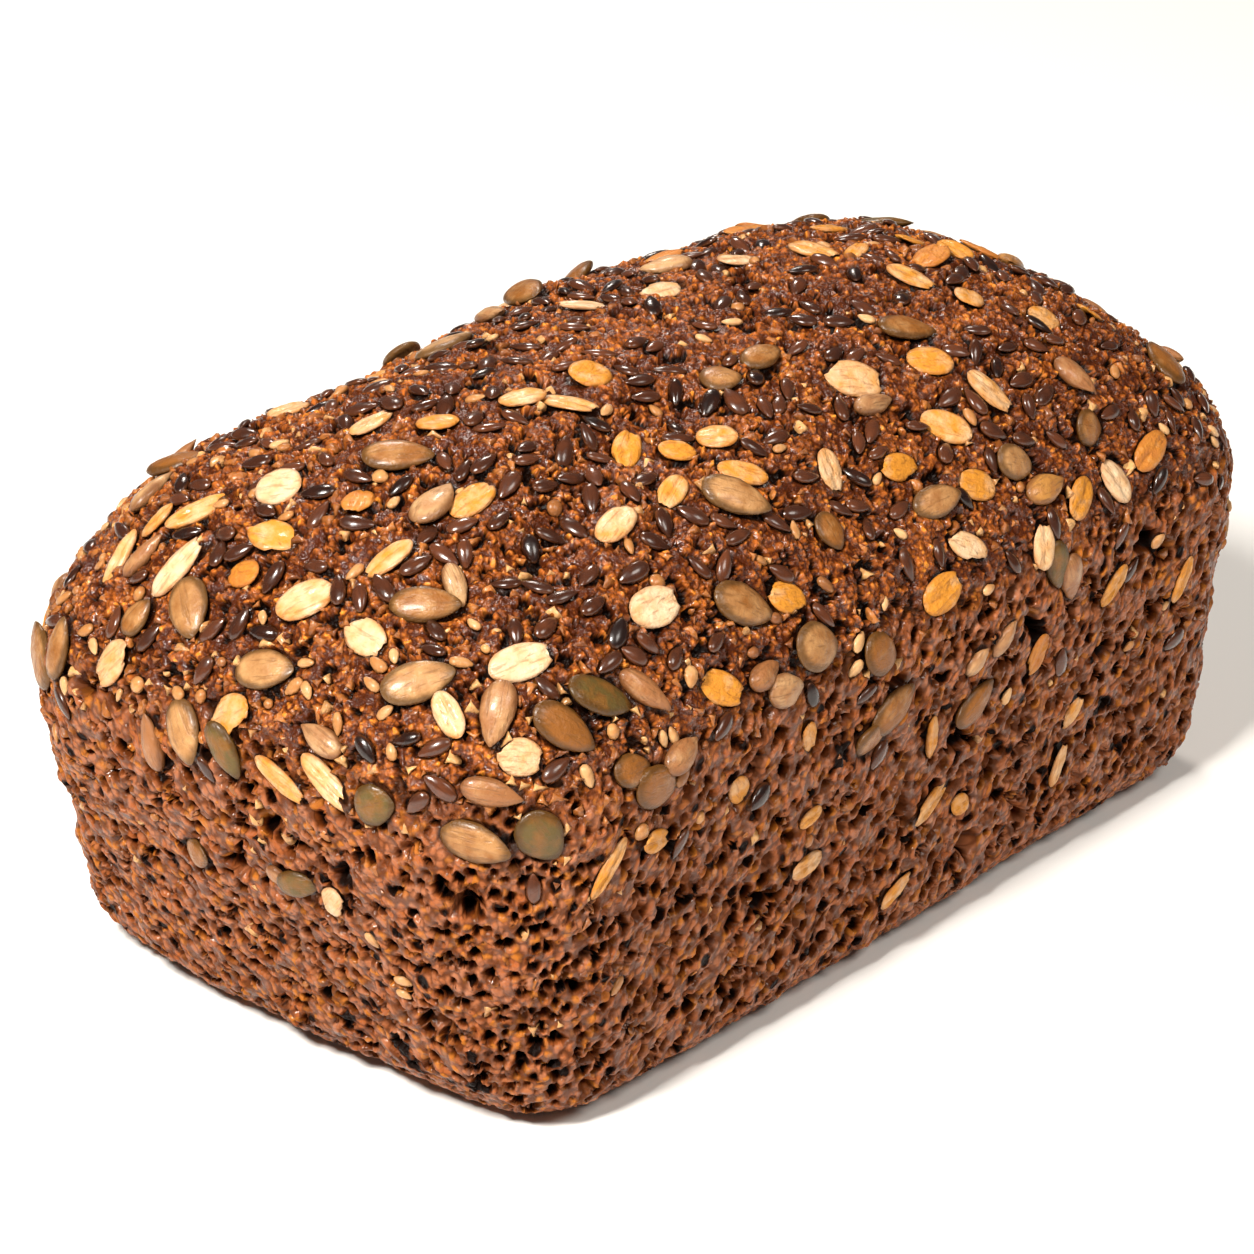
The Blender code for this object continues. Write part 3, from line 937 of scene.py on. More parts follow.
LANDMARKS = tuple(Landmark(*row) for row in (
    # the corner where the left end meets the front
    (PUMPKIN, -77, -24, 0, 0, 10.5, 5.6, 0, 0.5),
    (SUNFLOWER, -72, -25, 0, -71, 7, 3.4, 0, 0.05),
    (PUMPKIN, -86, -31, 0, 18, 11, 6.2, 1, 0.1),
    (SUNFLOWER, -81.5, -42, 0, -102, 10, 5, 1, 0.45),
    (OAT, -74.5, -40, 0, 20, 10, 5.6, 1, 0),
    (PUMPKIN, -67.5, -48, 0, -10, 12, 6.4, 2, 0.86),
    (PUMPKIN, -75.2, -48.5, 0, -34, 11, 6, 0, 0.8),
    (PUMPKIN, -67, -60, 60.5, 12, 7.4, 5, 1, 0.7),
    (SUNFLOWER, -57, -60, 60, 48, 8.4, 4.2, 2, 0.5),
    (PUMPKIN, -62.5, -60, 54.5, 8, 8.8, 6.6, 2, 0.75),
    (PUMPKIN, -86, -56, 53, -52, 8.6, 6.9, 1, 0.99),
    (PUMPKIN, -94, -48, 52.5, -17, 10.8, 5.8, 0, 0.35),
    (OAT, -82, -46.5, 0, -10, 6.8, 5.6, 3, 0.1),
    (SUNFLOWER, -60, -50, 0, -40, 9.4, 3.8, 0, 0.7),
    (OAT, -46, -52, 0, -20, 9.2, 5.2, 3, 0.75),
    (SUNFLOWER, -36.5, -52.5, 0, 42, 7.6, 3.8, 1, 0.75),
    (SUNFLOWER, -88, -47, 60, -14, 9.2, 4, 2, 0.75),
    (OAT, -86, -37, 0, -63, 7.6, 4, 0, 0.2),
    (OAT, -51, -44, 0, 22, 9, 6.2, 1, 0),
    (PUMPKIN, -36, -47.5, 0, -17, 11.4, 6.6, 0, 0.45),
    (OAT, -44, -60, 45, -58, 5.6, 4.2, 0, 0.6),
    (OAT, -73, -60, 45, 60, 10.2, 2.6, 0, 0.5),
    (OAT, -62, -60, 46, 16, 7.8, 3.4, 3, 0.6),
    (PUMPKIN, -100, -33, 57, 0, 6.4, 6.2, 0, 0.99),
    # the crown above the left end
    (PUMPKIN, -60.5, -3, 0, 0, 10.8, 5.8, 1, 0.55),
    (OAT, -51.5, -2, 0, 5, 6.6, 6, 0, 0.6),
    (OAT, -56, 7, 0, 28, 8.4, 4.4, 1, 0.35),
    (OAT, -72.5, 10, 0, 0, 7.4, 7, 0, 0),
    (OAT, -78, 21, 0, 27, 11, 3.8, 0, 0.5),
    (OAT, -80, 28, 0, 41, 6.8, 5, 0, 0.55),
    (OAT, -79, 4.5, 0, -17, 8.6, 5.6, 2, 0.6),
    (OAT, -86.5, 17, 0, 44, 11.6, 4.4, 1, 0),
    (SUNFLOWER, -85.5, 25, 0, 45, 8.6, 3, 0, 0.6),
    (OAT, -85, 31, 0, 58, 10, 3.2, 0, 0.35),
    (PUMPKIN, -92, 20, 0, 48, 6.6, 4.4, 0, 0.5),
    (PUMPKIN, -100, 35, 60, 76, 10, 4.6, 1, 0.4),
    (PUMPKIN, -91, -6, 0, -2, 10.4, 6.2, 2, 0.15),
    (OAT, -100, -2, 62, 19, 8.2, 6.2, 2, 0.45),
    (OAT, -84.5, -7.5, 0, 21, 9.2, 6.2, 0, 0.25),
    (OAT, -75, -15, 0, 37, 8.4, 4.6, 0, 0.4),
    (SUNFLOWER, -64, -13.5, 0, 52, 10.2, 5.8, 2, 0.15),
    (OAT, -84.5, -19.5, 0, -35, 8, 5.4, 3, 0.1),
    (OAT, -60, -17, 0, 39, 8.6, 5, 0, 0.55),
    (PUMPKIN, -100, -4, 56, -65, 9.4, 4.4, 0, 0.99),
    (OAT, -100, -23.5, 59, -50, 11.4, 3.4, 1, 0.35),
    (OAT, -100, -14, 54.5, -40, 11.4, 3.2, 1, 0.45),
    (PUMPKIN, -100, 8, 33, -30, 6.4, 4.8, 1, 0.7),
    (SUNFLOWER, -100, -10, 35, -50, 4.6, 3.6, 0, 0.6),
    (PUMPKIN, -100, -16, 36, -10, 6.8, 4.4, 1, 0.9),
    (OAT, -100, -20.5, 35, 40, 6.2, 4.6, 2, 0.1),
    (OAT, -84, 5.5, 0, 0, 6.4, 4.6, 0, 0.85),
    # the middle of the crown
    (PUMPKIN, -26.5, -38, 0, -18, 11.2, 6, 0, 0.2),
    (OAT, -22, -35.5, 0, -14, 8.2, 4.4, 0, 0.55),
    (OAT, -20, -29, 0, 0, 6.4, 6.2, 0, 0.5),
    (OAT, -27.5, -27.5, 0, 0, 6, 4.8, 0, 0.7),
    (OAT, -34, -12, 0, -17, 10.2, 5.2, 3, 0.35),
    (OAT, -38.5, -7, 0, 18, 7.6, 4.8, 0, 0.4),
    (OAT, -25.5, -8.5, 0, 20, 7.6, 6.2, 0, 0.6),
    (PUMPKIN, -9, -20, 0, 10, 6.6, 6, 0, 0.45),
    (PUMPKIN, 1, -19.5, 0, 24, 8.2, 5, 1, 0.5),
    (PUMPKIN, -13, -45, 0, -60, 6.4, 5.4, 2, 0.65),
    # the crown towards the right end
    (OAT, 38, 1, 0, -21, 9.4, 5.6, 1, 0.45),
    (OAT, 52, 9, 0, 9, 7.2, 5, 0, 0.6),
    (OAT, 57, -4, 0, 0, 6.6, 5.6, 2, 0.75),
    (OAT, 42, -16, 0, -20, 8.8, 5.4, 1, 0.5),
    (OAT, 47, -24, 0, 75, 6.6, 5.2, 0, 0.55),
    (OAT, 57, -31, 0, 2, 6.6, 5.2, 0, 0.5),
    (PUMPKIN, 30, -25, 0, -5, 10.8, 5.2, 0, 0.55),
    (OAT, 28, -31, 0, 0, 7.8, 6.2, 0, 0.65),
    (OAT, 12, -29, 0, -7, 10.2, 7, 3, 0.3),
    (SUNFLOWER, 11, -33.5, 0, 17, 9.2, 3.6, 0, 0.4),
    (OAT, 33, -39, 0, -38, 9.4, 5.4, 1, 0.35),
    (OAT, 21, -40, 0, -17, 8.8, 5.4, 0, 0.5),
    (PUMPKIN, 29, -47, 0, -5, 8.6, 5.8, 2, 0.3),
    (OAT, 20, -47, 0, -12, 7.6, 5, 0, 0.65),
    (OAT, 7.5, -41.5, 0, 14, 8.4, 4.8, 2, 0.75),
    (PUMPKIN, 10, -47, 0, 21, 9.2, 5.2, 0, 0.3),
    (SUNFLOWER, 51, -42, 0, -40, 8.2, 4.2, 0, 0.65),
    (PUMPKIN, 48.5, -47, 0, 0, 6.6, 6, 0, 0.6),
    (OAT, 41, -60, 67, 66, 8.8, 4.8, 0, 0.65),
    (OAT, 70, -31, 0, 0, 6, 5.2, 2, 0.7),
    # the front
    (PUMPKIN, -25.5, -60, 66, 7, 9.2, 7.6, 1, 0.3),
    (PUMPKIN, -13, -60, 58, 0, 7.8, 6.8, 2, 0.75),
    (OAT, -27, -48.5, 0, 0, 7.6, 5.4, 2, 0.75),
    (SUNFLOWER, -33, -60, 59.5, 17, 7.6, 5.2, 0, 0.3),
    (PUMPKIN, -10, -60, 47, 46, 10.8, 5.4, 0, 0.6),
    (PUMPKIN, 11.5, -60, 39, 50, 10.2, 4.8, 1, 0.8),
    (PUMPKIN, -14, -60, 41, 30, 7.8, 5.6, 2, 0.6),
    (OAT, -28, -60, 48, -75, 6.6, 3.4, 1, 0.55),
    (OAT, 2, -60, 37, -87, 7.8, 3.2, 0, 0.6),
    (SUNFLOWER, 17, -60, 47.5, 51, 6.8, 3.2, 0, 0.4),
    (SUNFLOWER, 10, -60, 46.5, 54, 5.6, 3, 1, 0.2),
    (SUNFLOWER, 35.5, -60, 52, -83, 9.2, 4.8, 1, 0.6),
    (PUMPKIN, 30, -60, 56, -80, 8.4, 4.8, 0, 0.99),
    (OAT, 27, -60, 61.5, 90, 7.6, 4.2, 1, 0.2),
    (OAT, -26, -60, 26, 39, 9, 3.4, 0, 0.4),
    (OAT, -4, -60, 10.5, 43, 8.2, 3.8, 1, 0.5),
    (OAT, 4, -60, 24, 50, 10.6, 3.2, 3, 0.5),
    (OAT, 11.5, -60, 22.5, 30, 4.4, 3.4, 0, 0.6),
    (OAT, 36.5, -60, 17, 73, 8, 3.6, 1, 0.35),
    (OAT, 37.5, -60, 26, 63, 6.2, 2.8, 3, 0.4),
    (OAT, 46.5, -60, 47.5, 60, 8.4, 3.4, 0, 0.6),
    (OAT, 66, -60, 40, 70, 8.4, 3.2, 0, 0.6),
    (OAT, -27, -60, 35, 45, 5.2, 2.4, 0, 0.55),
))


@dataclass(frozen=True)
class Placed:
    """One kernel's place on the loaf, in metres."""

    centre: np.ndarray
    axes: np.ndarray
    scale: float
    squeeze: float
    variant: int
    tone: float


@dataclass
class KernelModel:
    """Triangles of one modelled kernel, in metres, lying along x."""

    points: np.ndarray
    triangles: np.ndarray
    local: np.ndarray


class KernelMaker:
    """Models the kernels, each as one closed shape in a few forms.

    A kernel is modelled one unit long, wide and thick, and then brought to its real size.
    """

    BREAKS = ((0.0, 0.16), (2.3, 0.24), (4.1, 0.30))    # turn and depth of a nib's flat faces
    VARIANT_TURN = 1.9                                  # radians between two nibs' faces
    TAPER = 0.55                                        # share that a full point narrows by
    FLATTENING = 0.25                                   # how much thinner the point's end is

    def __init__(self, kind: Kernel) -> None:
        """Take the kind's sizes."""
        self.kind = kind
        self.size = SIZES[kind]

    def models(self) -> list[KernelModel]:
        """Model all forms of the kind."""
        count = 4 if self.kind is Kernel.OAT else 3
        return [self.model(variant) for variant in range(count)]

    def model(self, variant: int) -> KernelModel:
        """Model one form of the kernel.

        Args:
            variant: Which form it is.

        Returns:
            Its triangles.
        """
        bpy.ops.object.select_all(action="DESELECT")
        if self.kind is Kernel.NIB:
            bpy.ops.mesh.primitive_ico_sphere_add(subdivisions=2, radius=0.5)
        else:
            lying = 0.0 if self.kind is Kernel.OAT else math.pi / 2
            bpy.ops.mesh.primitive_uv_sphere_add(
                segments=self.size.segments, ring_count=self.size.rings, radius=0.5,
                rotation=(0.0, lying, 0.0))
        kernel = bpy.context.object
        bpy.ops.object.transform_apply(location=False, rotation=True, scale=False)
        bpy.ops.object.mode_set(mode="EDIT")
        bpy.ops.mesh.select_mode(type="VERT")
        if self.kind is Kernel.OAT:
            self.roll_flake(kernel, variant)
        elif self.kind is Kernel.NIB:
            self.crack(variant)
        else:
            self.draw_point(kernel)
        self.stretch_whole()
        bpy.ops.object.mode_set(mode="OBJECT")
        if self.kind is Kernel.NIB:
            apply_modifier(kernel, "SMOOTH", factor=0.6, iterations=5)
            apply_modifier(kernel, "DECIMATE", ratio=0.6)
        self.make_uneven(kernel, variant)
        return self.triangles(kernel)

    def crack(self, variant: int) -> None:
        """Break flat faces off a grain, in another way for each form."""
        for step, depth in self.BREAKS:
            turn = self.VARIANT_TURN * variant + step
            facing = (math.cos(turn), math.sin(turn), 0.5 - 0.3 * step / 2)
            length = math.sqrt(sum(part * part for part in facing))
            bpy.ops.mesh.select_all(action="SELECT")
            bpy.ops.mesh.bisect(plane_co=[depth * part / length for part in facing],
                                plane_no=facing, use_fill=True, clear_outer=True)

    def draw_point(self, kernel: bpy.types.Object) -> None:
        """Resize the rings to draw one end to a point and move the bulk back."""
        places = sorted({round(v.co.x, 4) for v in kernel.data.vertices})
        for place in places[1:-1]:
            self.pick(kernel, lambda v, x=place: abs(v.co.x - x) < 1e-3)
            share = place * 2.0
            round_width = math.sqrt(1.0 - share * share)
            front = max(0.0, share)
            pointed = round_width * (1.0 - self.size.point * self.TAPER * front ** 1.5)
            leaned = pointed * (1.0 - self.size.bulk_shift * share)
            edge = 1.0 - self.FLATTENING * front ** 3
            bpy.ops.transform.resize(
                value=(1.0, leaned / round_width, leaned / round_width * edge),
                center_override=(place, 0.0, 0.0))

    def roll_flake(self, kernel: bpy.types.Object, variant: int) -> None:
        """Give a rolled flake its crease, split end and curl.

        Args:
            kernel: The flake, in edit mode.
            variant: Which form it is.
        """
        every = (0, 1, 2, 3)
        moves = (
            (every, lambda v: v.co.z > 0.0 and abs(v.co.y) < 0.09, (0.0, 0.0, -0.22)),
            (every, lambda v: v.co.z < 0.0 and abs(v.co.y) < 0.20, (0.0, 0.0, 0.10)),
            ((1, 3), lambda v: v.co.x > 0.40 and abs(v.co.y) < 0.12, (-0.07, 0.01, 0.0)),
            ((2, 3), lambda v: v.co.x < -0.30 and v.co.y > 0.08, (0.06, -0.05, 0.05)),
            ((2,), lambda v: v.co.y < -0.25 and v.co.x > 0.0, (0.0, 0.09, 0.12)),
        )
        for variants, chosen, step in moves:
            if variant in variants:
                self.pick(kernel, chosen)
                bpy.ops.transform.translate(value=step)

    def pick(self, kernel: bpy.types.Object, chosen: Callable) -> None:
        """Select the points of a kernel in edit mode that a test chooses.

        Args:
            kernel: The object, in edit mode.
            chosen: Takes a point and says whether it is selected.
        """
        shape = bmesh.from_edit_mesh(kernel.data)
        for vertex in shape.verts:
            vertex.select_set(chosen(vertex))
        shape.select_flush_mode()
        bmesh.update_edit_mesh(kernel.data)

    def stretch_whole(self) -> None:
        """Bring the kernel in edit mode to its real size."""
        size = self.size
        bpy.ops.mesh.select_all(action="SELECT")
        bpy.ops.transform.resize(value=(size.length * MM, size.width * MM,
                                        size.thickness * MM),
                                 center_override=(0.0, 0.0, 0.0))

    def make_uneven(self, kernel: bpy.types.Object, variant: int) -> None:
        """Make the surface slightly uneven, in another way for each form.

        Args:
            kernel: The kernel.
            variant: Which form it is.
        """
        clouds = bpy.data.textures.new("kernel_unevenness", "CLOUDS")
        clouds.noise_scale = self.size.width * MM * (0.42 + 0.11 * variant)
        clouds.noise_depth = 1
        apply_modifier(kernel, "DISPLACE", texture=clouds, texture_coords="LOCAL",
                       mid_level=0.5, strength=self.size.uneven * MM)

    def triangles(self, kernel: bpy.types.Object) -> KernelModel:
        """Read a kernel's triangles and remove its object.

        Args:
            kernel: The kernel.

        Returns:
            Its triangles.
        """
        activate(kernel)
        bpy.ops.object.mode_set(mode="EDIT")
        bpy.ops.mesh.select_all(action="SELECT")
        bpy.ops.mesh.quads_convert_to_tris()
        bpy.ops.object.mode_set(mode="OBJECT")
        points = read_points(kernel.data)
        corners = read(kernel.data.loops, "vertex_index", kind=np.int32)
        half = np.array([self.size.length, self.size.width, self.size.thickness]) * MM / 2
        bpy.data.objects.remove(kernel)
        return KernelModel(points, corners.reshape(-1, 3), points / half)


class SeedBed:
    """The skin as a bed for seeds: finds free places and presses the dough under them."""

    SEED = 41
    CELL = 6.0 * MM                 # side of the boxes that the taken places are kept in
    TILT = 0.07                     # how unevenly kernels lie, against the skin
    WALL_SINK = 0.22                # extra share of a kernel that lies sunk in a wall
    STEEP = 0.25                    # upward share of a normal below which skin isn't crown
    WALL_RISE = (0.12, 0.45)        # shares of the height between which densities ease in
    SHOULDER_RISE = (0.50, 0.68)
    CROWN_RISE = (0.74, 0.86)
    GAIN_RISE = (0.45, 0.70)
    NEAR_REACH = (-0.05, -0.85)     # shares of the half length where the left end's gain grows
    LAID_REACH = 0.35               # share of the half length that bounds the skin where kernels are laid one by one
    PER_SQUARE_METRE = 1e4          # square centimetres in one
    GRAZING = 0.15                  # least share of a normal that counts as facing the viewer
    TRIES = 6                       # places drawn for each kernel that is wanted
    WALL_ORDER = 0.8                # how far kernels on a wall follow the dough's slant
    SQUEEZE = (0.86, 1.12)          # narrowest and widest, against the usual width
    PRESS_REACH = 1.25              # how far round a kernel the skin is looked at
    PRESS_EDGE = (1.18, 0.86)       # distance where the pressing starts, and where it is full

    def __init__(self, points: np.ndarray, normals: np.ndarray, crown: np.ndarray,
                 point_area: float) -> None:
        """Keep the skin's points.

        Args:
            points: The skin's points, in metres.
            normals: Its normals.
            crown: How far each point belongs to the crown, from 0 to 1.
            point_area: Area of skin for each point, in square metres.
        """
        self.points = points
        self.normals = normals
        self.crown = crown
        self.point_area = point_area
        self.chance = np.random.default_rng(self.SEED)
        self.taken: dict[tuple[int, int, int], list] = {}
        self.placed: dict[Kernel, list[Placed]] = {kind: [] for kind in Kernel}
        self.tree = KDTree(len(points))
        for index, point in enumerate(points):
            self.tree.insert(point, index)
        self.tree.balance()

    def discs(self, kind: Kernel, placed: Placed) -> list[tuple[np.ndarray, float]]:
        """Stand for a kernel by five discs along it.

        Args:
            kind: Its kind.
            placed: Its place.

        Returns:
            Each disc's centre and radius.
        """
        size = SIZES[kind]
        radius = size.width * MM / 2 * placed.scale * placed.squeeze
        reach = max(0.0, size.length * MM / 2 * placed.scale - radius)
        return [(placed.centre + placed.axes[0] * step, radius)
                for step in (-reach, -reach / 2, 0.0, reach / 2, reach)]

    def is_free(self, discs: list[tuple[np.ndarray, float]], crowding: float) -> bool:
        """Test whether discs are clear of what is already placed.

        Args:
            discs: Centres and radii.
            crowding: Share of the radii by which they may lap over.

        Returns:
            True where nothing is in the way.
        """
        for centre, radius in discs:
            home = np.floor(centre / self.CELL).astype(int)
            for dx, dy, dz in product((-1, 0, 1), repeat=3):
                for other, reach in self.taken.get((home[0] + dx, home[1] + dy, home[2] + dz), ()):
                    gap = (radius + reach) * (1.0 - crowding)
                    if float(((centre - other) ** 2).sum()) < gap * gap:
                        return False
        return True

    def claim(self, kind: Kernel, placed: Placed) -> None:
        """Place a kernel and mark its room as taken."""
        for centre, radius in self.discs(kind, placed):
            home = tuple(np.floor(centre / self.CELL).astype(int))
            self.taken.setdefault(home, []).append((centre, radius))
        self.placed[kind].append(placed)

    def pose(self, kind: Kernel, index: int, front: np.ndarray, scale: float,
             squeeze: float, variant: int, tone: float) -> Placed:
        """Lay a kernel nearly flat on the skin at one of its points.

        Args:
            kind: Its kind.
            index: The skin's point.
            front: Direction that its front end points in.
            scale: Size against the usual one.
            squeeze: Width against the usual one.
            variant: Which form it takes.
            tone: Its own shade, from 0 to 1.

        Returns:
            The kernel's place.
        """
        size = SIZES[kind]
        up = self.normals[index] + self.chance.normal(0.0, self.TILT, 3)
        up /= np.linalg.norm(up)
        front = front - up * float(front @ up)
        front /= np.linalg.norm(front)
        sunk = size.sunk + self.WALL_SINK * (1.0 - self.crown[index])
        lift = size.thickness * MM * scale ** 0.5 * (0.5 - sunk)
        return Placed(self.points[index] + up * lift,
                      np.array([front, np.cross(up, front), up]), scale, squeeze, variant,
                      tone)

    def lay(self, mark: Landmark) -> None:
        """Lay one large kernel at its own place.

        Args:
            mark: The kernel and its place.
        """
        goal = np.array([mark.along, mark.across, mark.height]) * MM
        if mark.height > 0.0:
            index = self.tree.find(goal)[1]
        else:
            gap = ((self.points[:, :2] - goal[:2]) ** 2).sum(axis=1)
            gap[self.normals[:, 2] < self.STEEP] = np.inf
            index = int(np.argmin(gap))
        front = self.seen_turn(index, math.radians(mark.turn))
        size = SIZES[mark.kind]
        scale = mark.length / size.length
        squeeze = mark.width / size.width / scale
        placed = self.pose(mark.kind, index, front, scale, squeeze, mark.form, mark.tone)
        self.claim(mark.kind, placed)

    def seen_turn(self, index: int, turn: float) -> np.ndarray:
        """Find the direction on the skin that looks turned, seen from above the near corner.

        Args:
            index: The skin's point.
            turn: Angle above the horizontal, in radians.

        Returns:
            The direction along the skin.
        """
        toward = np.array(bearing(VIEW_AZIMUTH, VIEW_ELEVATION))
        yaw = math.radians(VIEW_AZIMUTH)
        right = np.array([math.cos(yaw), math.sin(yaw), 0.0])
        seen = right * math.cos(turn) + np.cross(toward, right) * math.sin(turn)
        up = self.normals[index]
        return seen - toward * float(seen @ up) / max(float(toward @ up), self.GRAZING)

    def slanting(self, index: int, yaw: float) -> np.ndarray:
        """Return a direction on the skin, turned by yaw from the dough's slant."""
        up = self.normals[index]
        slant = np.array([1.0, 1.0, 1.0])
        along = slant - up * float(slant @ up)
        along /= np.linalg.norm(along)
        return along * math.cos(yaw) + np.cross(up, along) * math.sin(yaw)

    def density(self, kind: Kernel) -> np.ndarray:
        """Work out how many kernels of a kind lie on each square metre of the skin.

        Args:
            kind: The kind.

        Returns:
            The density at each point.
        """
        size = SIZES[kind]
        height = self.points[:, 2] / self.points[:, 2].max()
        reach = self.points[:, 0].max()
        near = smooth_step(*self.NEAR_REACH, self.points[:, 0] / reach)
        density = size.wall * smooth_step(*self.WALL_RISE, height)
        density += (size.shoulder - size.wall) * smooth_step(*self.SHOULDER_RISE, height)
        density += (size.crown - size.shoulder) * smooth_step(*self.CROWN_RISE, height)
        density *= 1.0 + size.near_gain * near * smooth_step(*self.GAIN_RISE, height)
        if kind in (PUMPKIN, SUNFLOWER, OAT):
            bound = self.LAID_REACH * reach * (1.0 - self.points[:, 0] / reach) / 2
            density[self.points[:, 1] < bound] *= size.left_over
        return np.maximum(density, 0.0) * self.PER_SQUARE_METRE

    def strew(self, kind: Kernel, forms: int) -> None:
        """Strew the kernels of a kind over the free skin.

        Args:
            kind: The kind.
            forms: How many forms it has.
        """
        size = SIZES[kind]
        share = self.density(kind) * self.point_area
        wanted = int(share.sum())
        picks = self.chance.choice(len(share), size=wanted * self.TRIES, p=share / share.sum())
        count = 0
        for index in picks:
            if count >= wanted:
                break
            wall = 1.0 - self.crown[index]
            yaw = self.chance.uniform(-math.pi, math.pi) * (1.0 - self.WALL_ORDER * wall)
            yaw += math.pi * float(self.chance.integers(0, 2))
            placed = self.pose(kind, index, self.slanting(index, yaw),
                               1.0 + size.size_spread * float(self.chance.uniform(-1, 1)),
                               float(self.chance.uniform(*self.SQUEEZE)),
                               int(self.chance.integers(0, forms)),
                               float(self.chance.uniform(0, 1)))
            if self.is_free(self.discs(kind, placed), size.crowding):
                self.claim(kind, placed)
                count += 1

    def pressed(self) -> np.ndarray:
        """Work out where seeds hold the dough down.

        Returns:
            For each point of the skin, 1 under a seed and 0 away from it.
        """
        held = np.zeros(len(self.points))
        for kind, kernels in self.placed.items():
            if kind is Kernel.NIB:
                continue
            half = np.array([SIZES[kind].length, SIZES[kind].width]) * MM / 2
            for placed in kernels:
                reach = half * placed.scale * np.array([1.0, placed.squeeze])
                found = self.tree.find_range(placed.centre, reach[0] * self.PRESS_REACH)
                near = [hit[1] for hit in found]
                offset = self.points[near] - placed.centre
                across = offset @ placed.axes[:2].T / reach
                distance = np.sqrt((across ** 2).sum(axis=1))
                held[near] = np.maximum(held[near], smooth_step(*self.PRESS_EDGE, distance))
        return held


def join_kernels(kind: Kernel, models: list[KernelModel],
                 kernels: list[Placed]) -> bpy.types.Object:
    """Join all kernels of a kind into one piece.

    Args:
        kind: The kind.
        models: Its forms.
        kernels: Where they lie.

    Returns:
        The piece, with each kernel's own coordinates and tone as attributes.
    """
    points, triangles, local, tone = [], [], [], []
    start = 0
    for placed in kernels:
        model = models[placed.variant]
        size = np.array([placed.scale, placed.scale * placed.squeeze, placed.scale ** 0.5])
        points.append((model.points * size) @ placed.axes + placed.centre)
        triangles.append(model.triangles + start)
        local.append(model.local)
        tone.append(np.full(len(model.points), placed.tone))
        start += len(model.points)
    corners = np.concatenate(triangles).ravel().astype(np.int32)
    mesh = bpy.data.meshes.new(kind.value)
    mesh.vertices.add(start)
    mesh.vertices.foreach_set("co", np.concatenate(points).astype(np.float32).ravel())
    mesh.loops.add(len(corners))
    mesh.loops.foreach_set("vertex_index", corners)
    mesh.polygons.add(len(corners) // 3)
    mesh.polygons.foreach_set("loop_start", np.arange(0, len(corners), 3, dtype=np.int32))
    mesh.update(calc_edges=True)
    mesh.validate()
    mesh.shade_smooth()
    write_attribute(mesh, "local", np.concatenate(local))
    write_attribute(mesh, "tone", np.concatenate(tone))
    piece = bpy.data.objects.new(kind.value, mesh)
    bpy.context.collection.objects.link(piece)
    return piece


# ---- seed finishes --------------------------------------------------------------------------


